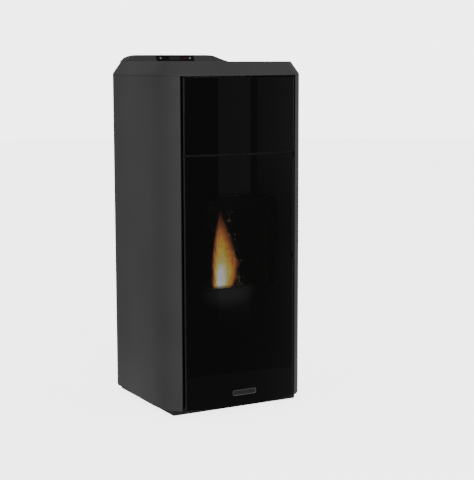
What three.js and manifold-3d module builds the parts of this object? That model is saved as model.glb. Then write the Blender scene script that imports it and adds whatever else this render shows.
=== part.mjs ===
import * as THREE from 'three';
import { mergeVertices } from 'three/addons/utils/BufferGeometryUtils.js';
import { ConvexGeometry } from 'three/addons/geometries/ConvexGeometry.js';
import Module from 'manifold-3d';

const wasm = await Module();
wasm.setup();

// Pellet stove in millimetres. X runs across the front, Y from front to back, Z up from the floor.
// The pieces are drawn about the middle of the casing, and the last lines centre the whole stove.

// Driving sizes of the casing
const casingWidth = 460;
const casingDepth = 430;
const deckHeight = 1000;
const humpRise = 20;
const plinthSideSetback = 28;
const plinthSetback = 28;
const plinthRearSetback = 38;
const plinthHeight = 17;
const levellingRise = 3;
const chamferHeight = 35;
const chamferInset = 24.5;
const lipHeight = 4;
const splitHeight = 742;
const splitGap = 5;
const frontCornerWidth = 45;
const doorSideGap = 6.8;
const glassBow = 24;
const panelThickness = 2;

// Clearance between pieces that touch, how far a cut runs past its piece, and how fine the curves are
const fit = 0.3;
const overrun = 2;
const roundSteps = 24;
const slimSteps = 16;
const slimRadius = 5;
const runningFit = 0.1;
const curveSteps = 8;
const bowSteps = 16;

// Levels and faces that several pieces share
const rearY = casingDepth / 2;
const frontY = -casingDepth / 2;
const plinthWidth = casingWidth - 2 * plinthSideSetback;
const plinthFrontY = frontY + plinthSetback;
const plinthRearY = rearY - plinthRearSetback;
const doorWidth = casingWidth - 2 * (frontCornerWidth + doorSideGap);
const casingBottom = levellingRise + plinthHeight;
const coverBottom = deckHeight - chamferHeight - lipHeight;
const panelTop = coverBottom - fit;
const rearInnerY = rearY - panelThickness;

// Basic forms, each returned as a solid

function solid(geometry) {
  geometry.deleteAttribute('normal');
  geometry.deleteAttribute('uv');
  const merged = mergeVertices(geometry);
  const vertProperties = new Float32Array(merged.attributes.position.array);
  const triVerts = new Uint32Array(merged.index.array);
  return new wasm.Manifold(new wasm.Mesh({ numProp: 3, vertProperties, triVerts }));
}

function block(left, right, front, back, low, high) {
  const box = new THREE.BoxGeometry(right - left, back - front, high - low);
  return solid(box.translate((left + right) / 2, (front + back) / 2, (low + high) / 2));
}

function slab(width, front, back, low, high) {
  return block(-width / 2, width / 2, front, back, low, high);
}

const alongX = new THREE.Matrix4().set(0, 0, 1, 0, 1, 0, 0, 0, 0, 1, 0, 0, 0, 0, 0, 1);
const alongY = new THREE.Matrix4().set(1, 0, 0, 0, 0, 0, -1, 0, 0, 1, 0, 0, 0, 0, 0, 1);

function prism(points, from, to, axis = 'z') {
  const shape = new THREE.Shape(points);
  const geometry = new THREE.ExtrudeGeometry(shape, { depth: to - from, bevelEnabled: false });
  if (axis === 'x') {
    geometry.translate(0, 0, from).applyMatrix4(alongX);
  } else if (axis === 'y') {
    geometry.translate(0, 0, -to).applyMatrix4(alongY);
  } else {
    geometry.translate(0, 0, from);
  }
  return solid(geometry);
}

function rod(radius, from, to, axis = 'z', across = 0, up = 0) {
  const steps = radius < slimRadius ? slimSteps : roundSteps;
  const geometry = new THREE.CylinderGeometry(radius, radius, to - from, steps);
  const middle = (from + to) / 2;
  if (axis === 'x') {
    geometry.rotateZ(-Math.PI / 2).translate(middle, across, up);
  } else if (axis === 'y') {
    geometry.translate(across, middle, up);
  } else {
    geometry.rotateX(Math.PI / 2).translate(across, up, middle);
  }
  return solid(geometry);
}

function roundedPoints(left, right, low, high, radius) {
  const shape = new THREE.Shape();
  shape.moveTo(right, high - radius);
  shape.absarc(right - radius, high - radius, radius, 0, Math.PI / 2, false);
  shape.absarc(left + radius, high - radius, radius, Math.PI / 2, Math.PI, false);
  shape.absarc(left + radius, low + radius, radius, Math.PI, 1.5 * Math.PI, false);
  shape.absarc(right - radius, low + radius, radius, 1.5 * Math.PI, 2 * Math.PI, false);
  return shape.getPoints(2);
}

function joined(solids) {
  return solids.reduce((whole, next) => whole.add(next));
}

function placed(body, matrix) {
  return body.transform(matrix.elements);
}

// Lines of the plan, from the rear to the front, with the inside of the casing on their right

function inset(line, distance) {
  return line.map((point, index) => {
    const before = line[Math.max(index - 1, 0)];
    const after = line[Math.min(index + 1, line.length - 1)];
    const arriving = index > 0 ? point.clone().sub(before) : after.clone().sub(point);
    const leaving = index < line.length - 1 ? after.clone().sub(point) : arriving.clone();
    arriving.normalize();
    const along = arriving.clone().add(leaving.normalize()).normalize();
    const inward = new THREE.Vector2(along.y, -along.x);
    const stretch = along.dot(arriving);
    return point.clone().addScaledVector(inward, distance / stretch);
  });
}

function mirrored(line) {
  return line.map((point) => new THREE.Vector2(-point.x, point.y)).reverse();
}

// Plan of the casing: rounded rear corners, sides that bow gently outwards, front corners that curve in
const rearTaper = 7;
const rearCornerRadius = 72;
const seamReturn = 1;
const widestSetback = 112;
const frontCornerEntryShare = 0.667;
const frontCornerExitShares = [0.644, 0.806];
const panelEndSetback = 4;
const rearWidth = casingWidth - 2 * rearTaper;
const rearPanelWidth = rearWidth - 2 * (rearCornerRadius + seamReturn);
const panelEndX = casingWidth / 2 - frontCornerWidth;

function sideLine() {
  const straightX = rearWidth / 2 - rearCornerRadius;
  const cornerY = rearY - rearCornerRadius;
  const widestY = frontY + widestSetback;
  const middleY = (cornerY + widestY) / 2;
  const runX = casingWidth / 2 - panelEndX;
  const endY = frontY + panelEndSetback;
  const runY = widestY - endY;
  const path = new THREE.Path();
  path.moveTo(rearPanelWidth / 2, rearY);
  path.lineTo(straightX, rearY);
  path.absarc(straightX, cornerY, rearCornerRadius, Math.PI / 2, 0, true);
  path.bezierCurveTo(rearWidth / 2, middleY, casingWidth / 2, middleY, casingWidth / 2, widestY);
  path.bezierCurveTo(
    casingWidth / 2, widestY - runY * frontCornerEntryShare,
    panelEndX + runX * frontCornerExitShares[0], widestY - runY * frontCornerExitShares[1],
    panelEndX, endY,
  );
  return path.getPoints(curveSteps);
}

// The glass front is part of a cylinder, whose chord is the width between the door's side strips
const stripWidth = 3.5;
const glassWidth = doorWidth - 2 * (stripWidth + fit);
const bowRadius = ((glassWidth / 2) ** 2 + glassBow ** 2) / (2 * glassBow);
const bowCentreY = frontY - glassBow + bowRadius;

function bowLine(width, depth) {
  const radius = bowRadius - depth;
  const reach = Math.asin(width / 2 / radius);
  return Array.from({ length: bowSteps + 1 }, (_, index) => {
    const turn = reach * (1 - 2 * index / bowSteps);
    return new THREE.Vector2(radius * Math.sin(turn), bowCentreY - radius * Math.cos(turn));
  });
}

function bowBand(width, front, back) {
  return [...bowLine(width, front), ...bowLine(width, back).reverse()];
}

function casingLine(distance, proud) {
  const front = bowLine(doorWidth, -proud).slice(0, bowSteps / 2 + 1);
  const half = inset([new THREE.Vector2(0, rearY), ...sideLine(), ...front], distance);
  return [...half, ...mirrored(half).slice(1, -1)];
}

// Finishes

function finish(color, roughness, metalness) {
  return new THREE.MeshStandardMaterial({ color, roughness, metalness });
}

const paintedCasing = finish(0x404040, 0.55, 0.2);
const paintedPlinth = finish(0x2c2c2c, 0.6, 0.2);
const blackGlass = finish(0x0a0a0a, 0.08, 0.0);
const clearGlass = finish(0x20242a, 0.05, 0.0);
const blackSteel = finish(0x161616, 0.6, 0.5);
const stripMetal = finish(0x4a4a48, 0.35, 0.9);
const castIron = finish(0x232323, 0.8, 0.6);
const stainless = finish(0x8c8c8a, 0.4, 1.0);
const galvanised = finish(0x9a9d9f, 0.5, 0.8);
const refractory = finish(0x55504a, 0.95, 0.0);
const rope = finish(0x8a8780, 1.0, 0.0);
const blackPlastic = finish(0x141518, 0.45, 0.0);
const whiteMark = finish(0xe6e8ea, 0.4, 0.0);
const screen = finish(0x8d968a, 0.2, 0.0);
const redLens = finish(0xa01818, 0.25, 0.0);
const boardGreen = finish(0x1f5a35, 0.6, 0.0);

// Each piece becomes one named mesh in a group

const stove = new THREE.Group();

function piece(name, body, material, parent = stove) {
  const { vertProperties, triVerts } = body.getMesh();
  const geometry = new THREE.BufferGeometry();
  geometry.setAttribute('position', new THREE.BufferAttribute(vertProperties, 3));
  geometry.setIndex(new THREE.BufferAttribute(triVerts, 1));
  const mesh = new THREE.Mesh(geometry, material);
  mesh.name = name;
  parent.add(mesh);
  return mesh;
}

// Plinth: a shallow folded tray that the whole stove stands in, open below
const plinthWall = 2;

function makePlinth() {
  const outer = slab(plinthWidth, plinthFrontY, plinthRearY, levellingRise, casingBottom);
  const front = plinthFrontY + plinthWall;
  const back = plinthRearY - plinthWall;
  const hollowWidth = plinthWidth - 2 * plinthWall;
  const hollow = slab(hollowWidth, front, back, levellingRise - overrun, casingBottom - plinthWall);
  piece('plinth', outer.subtract(hollow), paintedPlinth);
}

// Levelling feet: a round pad with a stud that carries the plinth's top plate
const footPadRadius = 18;
const footPadHeight = 6;
const footStudRadius = 5;
const footInset = 32;

function makeFeet() {
  const studTop = casingBottom - plinthWall - fit;
  const foot = rod(footPadRadius, 0, footPadHeight).add(rod(footStudRadius, 0, studTop));
  const x = plinthWidth / 2 - footInset;
  const front = plinthFrontY + footInset;
  const rear = plinthRearY - footInset;
  piece('foot_front_left', foot, blackPlastic).position.set(-x, front, 0);
  piece('foot_front_right', foot, blackPlastic).position.set(x, front, 0);
  piece('foot_rear_left', foot, blackPlastic).position.set(-x, rear, 0);
  piece('foot_rear_right', foot, blackPlastic).position.set(x, rear, 0);
}

// Base plate: follows the casing inside its panels and stops behind the door
const baseThickness = 3;
const baseBottom = casingBottom + fit;
const baseTop = baseBottom + baseThickness;
const baseFrontSetback = 20;

function makeBasePlate() {
  const plate = prism(casingLine(panelThickness + fit, 0), baseBottom, baseTop);
  const cutBack = frontY + baseFrontSetback;
  const cutFront = cutBack - casingDepth;
  const cut = slab(casingWidth, cutFront, cutBack, baseBottom - overrun, baseTop + overrun);
  piece('base_plate', plate.subtract(cut), galvanised);
}

// Side panels: one bent sheet each, round the rear corner, along the side and round the front corner
function makeSidePanels() {
  const outer = sideLine();
  const section = [...outer, ...inset(outer, panelThickness).reverse()];
  const right = prism(section, casingBottom, panelTop);
  const left = prism(mirrored(section), casingBottom, panelTop);
  piece('left_side_panel', left, paintedCasing);
  piece('right_side_panel', right, paintedCasing);
}

// Rear panel: flat sheet with louvres, pipe holes and the cut-out of the mains inlet
const flueRadius = 40;
const flueX = -50;
const flueZ = 165;
const airPipeRadius = 25;
const airPipeX = -60;
const airPipeZ = 262;
const pipeHoleMargin = 3;
const louvreHeight = 5;
const louvrePitch = 12;
const upperLouvreDrop = 260.7;
const lowerLouvres = { width: 200, centreX: 20, low: 42, rows: 6 };
const upperLouvres = { width: 200, centreX: 0, low: panelTop - upperLouvreDrop, rows: 12 };
const inletSideInset = 28;
const inletX = -rearPanelWidth / 2 + inletSideInset;
const inletZ = 80;
const inletWidth = 27;
const inletHeight = 58;

function louvres({ width, centreX, low, rows }) {
  return joined(Array.from({ length: rows }, (_, row) => {
    const bottom = low + row * louvrePitch;
    const left = centreX - width / 2;
    const right = centreX + width / 2;
    return block(left, right, rearInnerY - overrun, rearY + overrun, bottom, bottom + louvreHeight);
  }));
}

function makeRearPanel() {
  const front = rearInnerY - overrun;
  const back = rearY + overrun;
  const half = { x: inletWidth / 2 + fit, z: inletHeight / 2 + fit };
  const inletCut = block(inletX - half.x, inletX + half.x, front, back, inletZ - half.z, inletZ + half.z);
  const panel = slab(rearPanelWidth - 2 * fit, rearInnerY, rearY, casingBottom, panelTop)
    .subtract(rod(flueRadius + pipeHoleMargin, front, back, 'y', flueX, flueZ))
    .subtract(rod(airPipeRadius + pipeHoleMargin, front, back, 'y', airPipeX, airPipeZ))
    .subtract(rod(capStudRadius + fit, front, back, 'y', inletX, capZ))
    .subtract(louvres(lowerLouvres))
    .subtract(louvres(upperLouvres))
    .subtract(inletCut);
  piece('rear_panel', panel, paintedCasing);
}

// Top cover: chamfered all round, with a raised hump at the rear that carries the controls
const coverWall = 2;
const coverProud = 1;
const humpFootSetback = 30;
const humpCrestSetback = 19.8;
const humpWall = 5;
const humpRearShares = [[1, 0], [0.96, 0.34], [0.87, 0.66], [0.79, 0.87], [0.68, 1]];
const humpFrontShares = [[1, 0], [0.93, 0.34], [0.83, 0.66], [0.74, 0.87], [0.64, 1]];
const humpRearInset = 45.5;
const humpFrontTaper = 9.5;
const humpRearWidth = rearWidth - 2 * humpRearInset;
const humpFrontWidth = humpRearWidth - 2 * humpFrontTaper;
const warmAirSlots = { count: 15, width: 7, pitch: 14, setback: 52, length: 66 };

// Hopper lid and its hinge, in the deck
const lidSideSetback = 80;
const lidWidth = casingWidth - 2 * lidSideSetback;
const lidRearSetback = 63;
const lidDepth = 192;
const lidThickness = 3;
const lidGap = 1.5;
const lidTrayDepth = 10;
const lidTrayInset = 10;
const lidTrayRearInset = 25;
const barrelRadius = 3.5;
const barrelEndInset = 32;
const barrelWidth = lidWidth - 2 * barrelEndInset;
const hingePinRadius = 2;
const lugWidth = 8;
const hingeY = rearY - lidRearSetback;
const lidFrontY = hingeY - lidDepth;
const hingeZ = deckHeight - barrelRadius;
const hingeRelief = 5.2;
const lugTop = deckHeight - coverWall / 2;
const lugReach = Math.hypot(barrelRadius, lugTop - hingeZ);
const gripRecessWidth = 80;
const gripRecessLength = 20;
const gripRecessDepth = 15;

function coverForm(distance, top) {
  const shape = new THREE.Shape(casingLine(distance, coverProud));
  const geometry = new THREE.ExtrudeGeometry(shape, {
    depth: lipHeight,
    bevelThickness: chamferHeight,
    bevelSize: chamferInset,
    bevelOffset: -chamferInset,
    bevelSegments: 1,
  });
  const form = solid(geometry.translate(0, 0, top - chamferHeight - lipHeight));
  const below = coverBottom - (distance > 0 ? overrun : 0);
  return form.trimByPlane([0, 0, 1], below);
}

function humpForm(wall) {
  const top = deckHeight + humpRise - Math.min(wall, coverWall);
  const rise = top - deckHeight;
  const corners = [];
  const rear = rearY - Math.min(wall, coverWall);
  const low = coverBottom - (wall ? overrun : 0);
  const footFront = rearY - humpFootSetback + wall;
  for (const side of [-1, 1]) {
    const rearX = side * (humpRearWidth / 2 - wall);
    const frontX = side * (humpFrontWidth / 2 - wall);
    for (const [across, up] of humpRearShares) {
      corners.push(new THREE.Vector3(rearX * across, rear, deckHeight + rise * up));
    }
    for (const [across, up] of humpFrontShares) {
      const setback = humpFootSetback + (humpCrestSetback - humpFootSetback) * up;
      corners.push(new THREE.Vector3(frontX * across, rearY - setback + wall, deckHeight + rise * up));
    }
    corners.push(new THREE.Vector3(rearX, rear, low));
    corners.push(new THREE.Vector3(frontX, footFront, low));
  }
  return solid(new ConvexGeometry(corners)).intersect(coverPrism(Math.min(wall, coverWall)));
}

function coverPrism(distance) {
  return prism(casingLine(distance, coverProud), coverBottom - overrun, deckHeight + humpRise + overrun);
}

function lidLugs() {
  const front = hingeY - barrelRadius;
  const back = hingeY + hingeRelief + lugWidth;
  const low = hingeZ - barrelRadius - coverWall;
  const inner = barrelWidth / 2 + fit;
  const lug = block(inner, inner + lugWidth, front, back, low, lugTop);
  const other = block(-inner - lugWidth, -inner, front, back, low, lugTop);
  const reach = barrelWidth / 2 + 2 * lugWidth;
  return lug.add(other).subtract(rod(hingePinRadius + runningFit, -reach, reach, 'x', hingeY, hingeZ));
}

function gripRecess() {
  const back = lidFrontY - lidGap;
  const front = back - gripRecessLength;
  const low = deckHeight - gripRecessDepth;
  const wall = coverWall;
  const outer = slab(gripRecessWidth + 2 * wall, front - wall, back, low - wall, deckHeight - wall / 2);
  const inner = slab(gripRecessWidth, front, back + overrun, low, deckHeight + overrun);
  return { outer, inner };
}

function makeTopCover() {
  const deckLow = deckHeight - coverWall - overrun;
  const deckHigh = deckHeight + overrun;
  const openingFront = lidFrontY - lidGap;
  const openingBack = hingeY + hingeRelief;
  const opening = slab(lidWidth + 2 * lidGap, openingFront, openingBack, deckLow, deckHigh);
  const slots = joined(Array.from({ length: warmAirSlots.count }, (_, index) => {
    const middle = (index - (warmAirSlots.count - 1) / 2) * warmAirSlots.pitch;
    const front = frontY + warmAirSlots.setback;
    const half = warmAirSlots.width / 2;
    return block(middle - half, middle + half, front, front + warmAirSlots.length, deckLow, deckHigh);
  }));
  const recess = gripRecess();
  const shell = coverForm(0, deckHeight)
    .add(humpForm(0))
    .subtract(coverForm(coverWall, deckHeight - coverWall))
    .subtract(humpForm(humpWall))
    .subtract(opening)
    .subtract(slots)
    .add(recess.outer)
    .subtract(recess.inner)
    .add(lidLugs())
    .subtract(placed(fasciaPocket(), slopeMatrix));
  piece('top_cover', shell, paintedCasing);
}

// Control panel, drawn flat and then laid on the hump's sloping face
const fasciaWidth = 128;
const fasciaHeight = 19;
const fasciaThickness = 1.6;
const fasciaLedge = 5;
const buttonRadius = 4.5;
const buttonX = 50;
const buttonProud = 0.8;
const buttonDepth = 4;
const collarRadius = 6;
const collarThickness = 1.6;
const screenLeft = -20;
const screenRight = 16;
const screenHeight = 11;
const lensLeft = 20;
const lensRight = 43;
const lensHeight = 5;
const windowSink = 0.2;

const slopeRun = humpFootSetback - humpCrestSetback;
const slopeAngle = Math.atan2(humpRise, slopeRun);
const slopeMatrix = new THREE.Matrix4()
  .makeTranslation(0, rearY - (humpFootSetback + humpCrestSetback) / 2, deckHeight + humpRise / 2)
  .multiply(new THREE.Matrix4().makeRotationX(slopeAngle));

function fasciaPocket() {
  const half = fasciaHeight / 2 + fit;
  const seat = slab(fasciaWidth + 2 * fit, -half, half, -fasciaThickness - fit, overrun);
  const innerHalf = fasciaHeight / 2 - fasciaLedge / 2;
  const through = slab(fasciaWidth - 2 * fasciaLedge, -innerHalf, innerHalf, -2 * humpWall, 0);
  return seat.add(through);
}

function makeControlPanel() {
  const panel = new THREE.Group();
  slopeMatrix.decompose(panel.position, panel.quaternion, panel.scale);
  stove.add(panel);
  const cutLow = -fasciaThickness - overrun;
  const screenHalf = screenHeight / 2;
  const lensHalf = lensHeight / 2;
  const screenCut = screenHalf + fit;
  const lensCut = lensHalf + fit;
  const fascia = slab(fasciaWidth, -fasciaHeight / 2, fasciaHeight / 2, -fasciaThickness, 0)
    .subtract(rod(buttonRadius + fit, cutLow, overrun, 'z', -buttonX, 0))
    .subtract(rod(buttonRadius + fit, cutLow, overrun, 'z', buttonX, 0))
    .subtract(block(screenLeft - fit, screenRight + fit, -screenCut, screenCut, cutLow, overrun))
    .subtract(block(lensLeft - fit, lensRight + fit, -lensCut, lensCut, cutLow, overrun));
  piece('control_fascia', fascia, blackPlastic, panel);
  const windowLow = -fasciaThickness;
  const display = block(screenLeft, screenRight, -screenHalf, screenHalf, windowLow, -windowSink);
  piece('display_window', display, screen, panel);
  const lens = block(lensLeft, lensRight, -lensHalf, lensHalf, windowLow, -windowSink);
  piece('indicator_lens', lens, redLens, panel);
  const button = rod(buttonRadius, -buttonDepth, buttonProud)
    .add(rod(collarRadius, -buttonDepth, collarThickness - buttonDepth));
  piece('left_button', button, whiteMark, panel).position.x = -buttonX;
  piece('right_button', button, whiteMark, panel).position.x = buttonX;
}

// Lid over the hopper, its barrel hinge and the grip in the finger recess
const gripWidth = 70;
const gripReach = 12;
const gripSeat = 9;
const gripThickness = 3;

function makeLid() {
  const backEdge = hingeY + barrelRadius / 2;
  const low = deckHeight - lidThickness;
  const trayOuter = lidWidth - 2 * lidTrayInset;
  const trayFront = lidFrontY + lidTrayInset;
  const trayBack = hingeY - lidTrayRearInset;
  const wall = coverWall;
  const trayLow = low - lidTrayDepth;
  const tray = slab(trayOuter, trayFront, trayBack, trayLow, low + wall / 2)
    .subtract(slab(trayOuter - 2 * wall, trayFront + wall, trayBack - wall, trayLow - overrun, low));
  const notchLeft = barrelWidth / 2;
  const notchRight = notchLeft + lugWidth + 2 * fit;
  const notchFront = hingeY - lugReach - 2 * fit;
  const notchBack = backEdge + overrun;
  const notch = block(notchLeft, notchRight, notchFront, notchBack, low - overrun, deckHeight + overrun);
  const lid = slab(lidWidth, lidFrontY, backEdge, low, deckHeight)
    .add(rod(barrelRadius, -barrelWidth / 2, barrelWidth / 2, 'x', hingeY, hingeZ))
    .subtract(notch)
    .subtract(notch.mirror([1, 0, 0]))
    .subtract(rod(hingePinRadius + runningFit, -lidWidth, lidWidth, 'x', hingeY, hingeZ))
    .add(tray)
    .add(slab(gripWidth, lidFrontY - gripReach, lidFrontY + gripSeat, low - gripThickness, low));
  piece('hopper_lid', lid, paintedCasing);
  const pinHalf = barrelWidth / 2 + lugWidth;
  piece('lid_hinge_pin', rod(hingePinRadius, -pinHalf, pinHalf, 'x', hingeY, hingeZ), stainless);
}

// Front frame: a flat plate with a doorway below the split and a smaller opening above it
const frameReach = 17.8;
const frameSetback = 20;
const frameThickness = 4;
const doorwayMargin = 12;
const frameBottomBar = 16;
const frameSplitBar = 30;
const frameTopBar = 17;
const frameFrontY = frontY + frameSetback;
const frameBackY = frameFrontY + frameThickness;
const frameBottom = baseTop + fit;
const frameWidth = doorWidth + 2 * frameReach;
const glassTopGap = 4;
const glassTop = coverBottom - glassTopGap;

function makeFrontFrame() {
  const cutFront = frameFrontY - overrun;
  const cutBack = frameBackY + overrun;
  const doorwayWidth = fireboxWidth + 2 * doorwayMargin;
  const splitLow = splitHeight - frameSplitBar / 2;
  const splitHigh = splitHeight + frameSplitBar / 2;
  const doorway = slab(doorwayWidth, cutFront, cutBack, frameBottom + frameBottomBar, splitLow);
  const above = slab(doorwayWidth, cutFront, cutBack, splitHigh, glassTop - frameTopBar);
  const frame = slab(frameWidth, frameFrontY, frameBackY, frameBottom, glassTop)
    .subtract(doorway)
    .subtract(above);
  piece('front_frame', frame, blackSteel);
}

// Curved glass panes, the bowed frames behind them and the metal strips along their edges
const glassThickness = 4;
const bandDepth = 8;
const bandBorder = 24;
const stripDepth = 9.5;
const stripFrontSetback = 0.5;
const stripEnd = 14;
const doorBottom = casingBottom;
const doorTop = splitHeight - splitGap / 2;
const upperBottom = splitHeight + splitGap / 2;

function pane(low, high) {
  return prism(bowBand(glassWidth, 0, glassThickness), low, high);
}

function bowedFrame(low, high) {
  const front = glassThickness + fit;
  const band = prism(bowBand(glassWidth, front, front + bandDepth), low, high);
  const openingWidth = glassWidth - 2 * bandBorder;
  const openingFront = frontY - casingDepth;
  const opening = slab(openingWidth, openingFront, frameFrontY, low + bandBorder, high - bandBorder);
  return band.subtract(opening);
}

function strip(side, low, high) {
  const outer = doorWidth / 2;
  const front = frontY + stripFrontSetback;
  const bar = block(outer - stripWidth, outer, front, front + stripDepth, low, high);
  return side > 0 ? bar : bar.mirror([1, 0, 0]);
}

function makeUpperFront() {
  piece('upper_glass', pane(upperBottom, glassTop), blackGlass);
  const barWidth = bandBorder;
  const outer = glassWidth / 2;
  const barFront = frontY + glassThickness + bandDepth;
  const bar = block(outer - barWidth, outer, barFront, frameFrontY - fit, upperBottom, glassTop);
  const frame = bowedFrame(upperBottom, glassTop).add(bar).add(bar.mirror([1, 0, 0]));
  const clearBand = bowBand(doorWidth, -glassBow, glassThickness + fit);
  const clear = prism(clearBand, upperBottom - overrun, glassTop + overrun);
  piece('upper_glass_frame', frame.subtract(clear), blackSteel);
  piece('upper_strip_left', strip(-1, upperBottom, glassTop), stripMetal);
  piece('upper_strip_right', strip(1, upperBottom, glassTop), stripMetal);
}

// Outer door: hung on two pins behind its left edge
const doorPinRadius = 2.5;
const doorPinInset = 6.2;
const doorPinSetback = 10;
const doorPinX = -doorWidth / 2 + doorPinInset;
const doorPinY = frontY + doorPinSetback;
const doorPinReach = 16;
const tabHeight = 12;
const tabMargin = 4;
const bracketThickness = 3;

function doorTab(low, high) {
  const outer = -doorWidth / 2;
  const back = doorPinY + doorPinRadius + tabMargin;
  const front = frontY + stripFrontSetback;
  return block(outer, doorPinX + doorPinRadius + tabMargin, front, back, low, high);
}

function makeOuterDoor() {
  const door = new THREE.Group();
  stove.add(door);
  const low = doorBottom;
  const high = doorTop;
  piece('door_glass', pane(low, high), blackGlass, door);
  const clearBand = bowBand(glassWidth + 2 * fit, -glassBow, glassThickness + fit);
  const clear = prism(clearBand, low - overrun, high + overrun);
  const boreRadius = doorPinRadius + runningFit;
  const lowBore = rod(boreRadius, low - overrun, low + doorPinReach + fit, 'z', doorPinX, doorPinY);
  const highBore = rod(boreRadius, high - doorPinReach - fit, high + overrun, 'z', doorPinX, doorPinY);
  const frame = bowedFrame(low, high)
    .add(doorTab(low, low + tabHeight))
    .add(doorTab(high - tabHeight, high))
    .subtract(clear)
    .subtract(lowBore)
    .subtract(highBore);
  piece('door_frame', frame, blackSteel, door);
  const stripLow = low + tabHeight + fit;
  const stripHigh = high - tabHeight - fit;
  piece('door_strip_left', strip(-1, stripLow, stripHigh), stripMetal, door);
  piece('door_strip_right', strip(1, stripLow, stripHigh), stripMetal, door);
  const pullZ = low + pullHeight;
  const outer = doorWidth / 2;
  const pullBack = frontY + stripFrontSetback - fit;
  const pullFront = pullBack - pullDepth;
  const half = pullLength / 2;
  const left = outer - stripWidth;
  const pull = block(left, outer + pullOverhang, pullFront, pullBack, pullZ - half, pullZ + half);
  piece('door_pull', pull, stainless, door);
}

// Finger pull on the right-hand strip, and the magnet that holds the door shut
const pullHeight = 420;
const pullLength = 14;
const pullDepth = 3;
const pullOverhang = 2;
const magnetInset = 14;
const magnetWidth = 12;
const magnetHeight = 44;
const magnetGap = 0.6;
const magnetX = doorWidth / 2 - magnetInset;

function makeDoorHinges() {
  const plateLeft = doorPinX - doorPinRadius - bracketThickness;
  const plateRight = doorPinX + doorPinRadius + tabMargin;
  const plateFront = doorPinY - doorPinRadius - bracketThickness;
  const lowerHigh = doorBottom - fit;
  const lowerLow = lowerHigh - bracketThickness;
  const lowerPlate = block(plateLeft, plateRight, plateFront, plinthFrontY - fit, lowerLow, lowerHigh);
  const lowerPin = rod(doorPinRadius, lowerLow, doorBottom + doorPinReach, 'z', doorPinX, doorPinY);
  piece('lower_hinge', lowerPlate.add(lowerPin), blackSteel);
  const upperLow = doorTop + fit;
  const upperHigh = upperLow + bracketThickness;
  const upperPlate = block(plateLeft, plateRight, plateFront, frameFrontY - fit, upperLow, upperHigh);
  const upperPin = rod(doorPinRadius, doorTop - doorPinReach, upperHigh, 'z', doorPinX, doorPinY);
  piece('upper_hinge', upperPlate.add(upperPin), blackSteel);
  const magnetLeft = magnetX - magnetWidth / 2;
  const magnetRight = magnetX + magnetWidth / 2;
  const bandRadius = bowRadius - glassThickness - fit - bandDepth;
  const bandBack = bowCentreY - Math.sqrt(bandRadius ** 2 - magnetRight ** 2);
  const magnetLow = doorBottom + pullHeight - magnetHeight / 2;
  const magnetFront = bandBack + magnetGap;
  const magnet = block(
    magnetLeft, magnetRight, magnetFront, frameFrontY - fit, magnetLow, magnetLow + magnetHeight,
  );
  piece('door_magnet', magnet, blackPlastic);
}

// Firebox: a welded shell on legs, with the ash chamber below the hearth
const fireboxSideSpace = 90;
const fireboxSetback = 50;
const fireboxWall = 4;
const mechanismSpace = 186;
const legHeight = 94;
const ashChamberHeight = 174;
const chamberHeight = 356;
const mouthJamb = 22;
const mouthSill = 22;
const mouthHeight = 284;
const drawerMouthJamb = 36;
const drawerMouthHeight = 104;
const fireboxWidth = casingWidth - 2 * fireboxSideSpace;
const mouthWidth = fireboxWidth - 2 * mouthJamb;
const drawerMouthWidth = fireboxWidth - 2 * drawerMouthJamb;
const fireboxFrontY = frontY + fireboxSetback;
const fireboxRearY = rearInnerY - mechanismSpace;
const ashFloor = baseTop + fit + legHeight + fireboxWall;
const hearth = ashFloor + ashChamberHeight + fireboxWall;
const chamberTop = hearth + chamberHeight;
const fireboxTop = chamberTop + fireboxWall;
const innerWidth = fireboxWidth - 2 * fireboxWall;
const innerFrontY = fireboxFrontY + fireboxWall;
const innerRearY = fireboxRearY - fireboxWall;

// Feed: the auger tube leans across the back, and the chute slopes from it through the firebox's rear wall
const augerTilt = Math.PI / 4;
const tubeRadius = 26;
const tubeWall = 2.5;
const tubeEndWall = 3;
const tubeBelowOutlet = 174;
const tubeAboveOutlet = 24;
const augerShaftRadius = 5;
const outletDrop = 56;
const outletZ = chamberTop - outletDrop;
const augerY = (fireboxRearY + rearInnerY) / 2;
const chuteSlope = Math.PI * 42 / 180;
const chuteWidth = 44;
const chuteHeight = 40;
const chuteWall = 2;
const chuteMargin = 0.5;
const chuteEndProud = 6;
const augerMatrix = new THREE.Matrix4()
  .makeTranslation(0, augerY, outletZ)
  .multiply(new THREE.Matrix4().makeRotationY(augerTilt));
const chuteMatrix = new THREE.Matrix4()
  .makeTranslation(0, augerY, outletZ)
  .multiply(new THREE.Matrix4().makeRotationX(Math.PI - (Math.PI / 2 - chuteSlope)));

// Lining of the combustion chamber
const liningThickness = 17;
const liningHeight = 300;
const liningFrontGap = 8;
const baffleThickness = 7;
const baffleGap = 38;
const liningBackFaceY = innerRearY - fit - liningThickness;
const chuteEndY = liningBackFaceY - chuteEndProud;
const chuteLength = (augerY - chuteEndY) / Math.cos(chuteSlope);

function chuteBar(margin, length) {
  const width = chuteWidth + 2 * margin;
  const half = chuteHeight / 2 + margin;
  return placed(slab(width, -half, half, 0, length), chuteMatrix);
}

// Burn pot, seated in the hearth on a frame
const potWidth = 90;
const potFrontGap = 25;
const potRearGap = 61.7;
const potRimRise = 42;
const potSink = 30;
const potWall = 4;
const potFlange = 9;
const potFlangeThickness = 4;
const potHoleRadius = 3.5;
const seatBorder = 12;
const seatThickness = 6;
const potFrontY = innerFrontY + potFrontGap;
const potBackY = liningBackFaceY - potRearGap;
const potDepth = potBackY - potFrontY;
const potMiddleY = (potFrontY + potBackY) / 2;

// Igniter, smoke port and air port of the rear wall
const igniterRadius = 6;
const igniterDrop = 10;
const igniterTail = 26;
const smokePortRadius = 26;
const airPortRadius = 20;
const fanX = 80;
const fanZ = 200;
const guideWidth = 4;
const guideHeight = 14;

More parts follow.
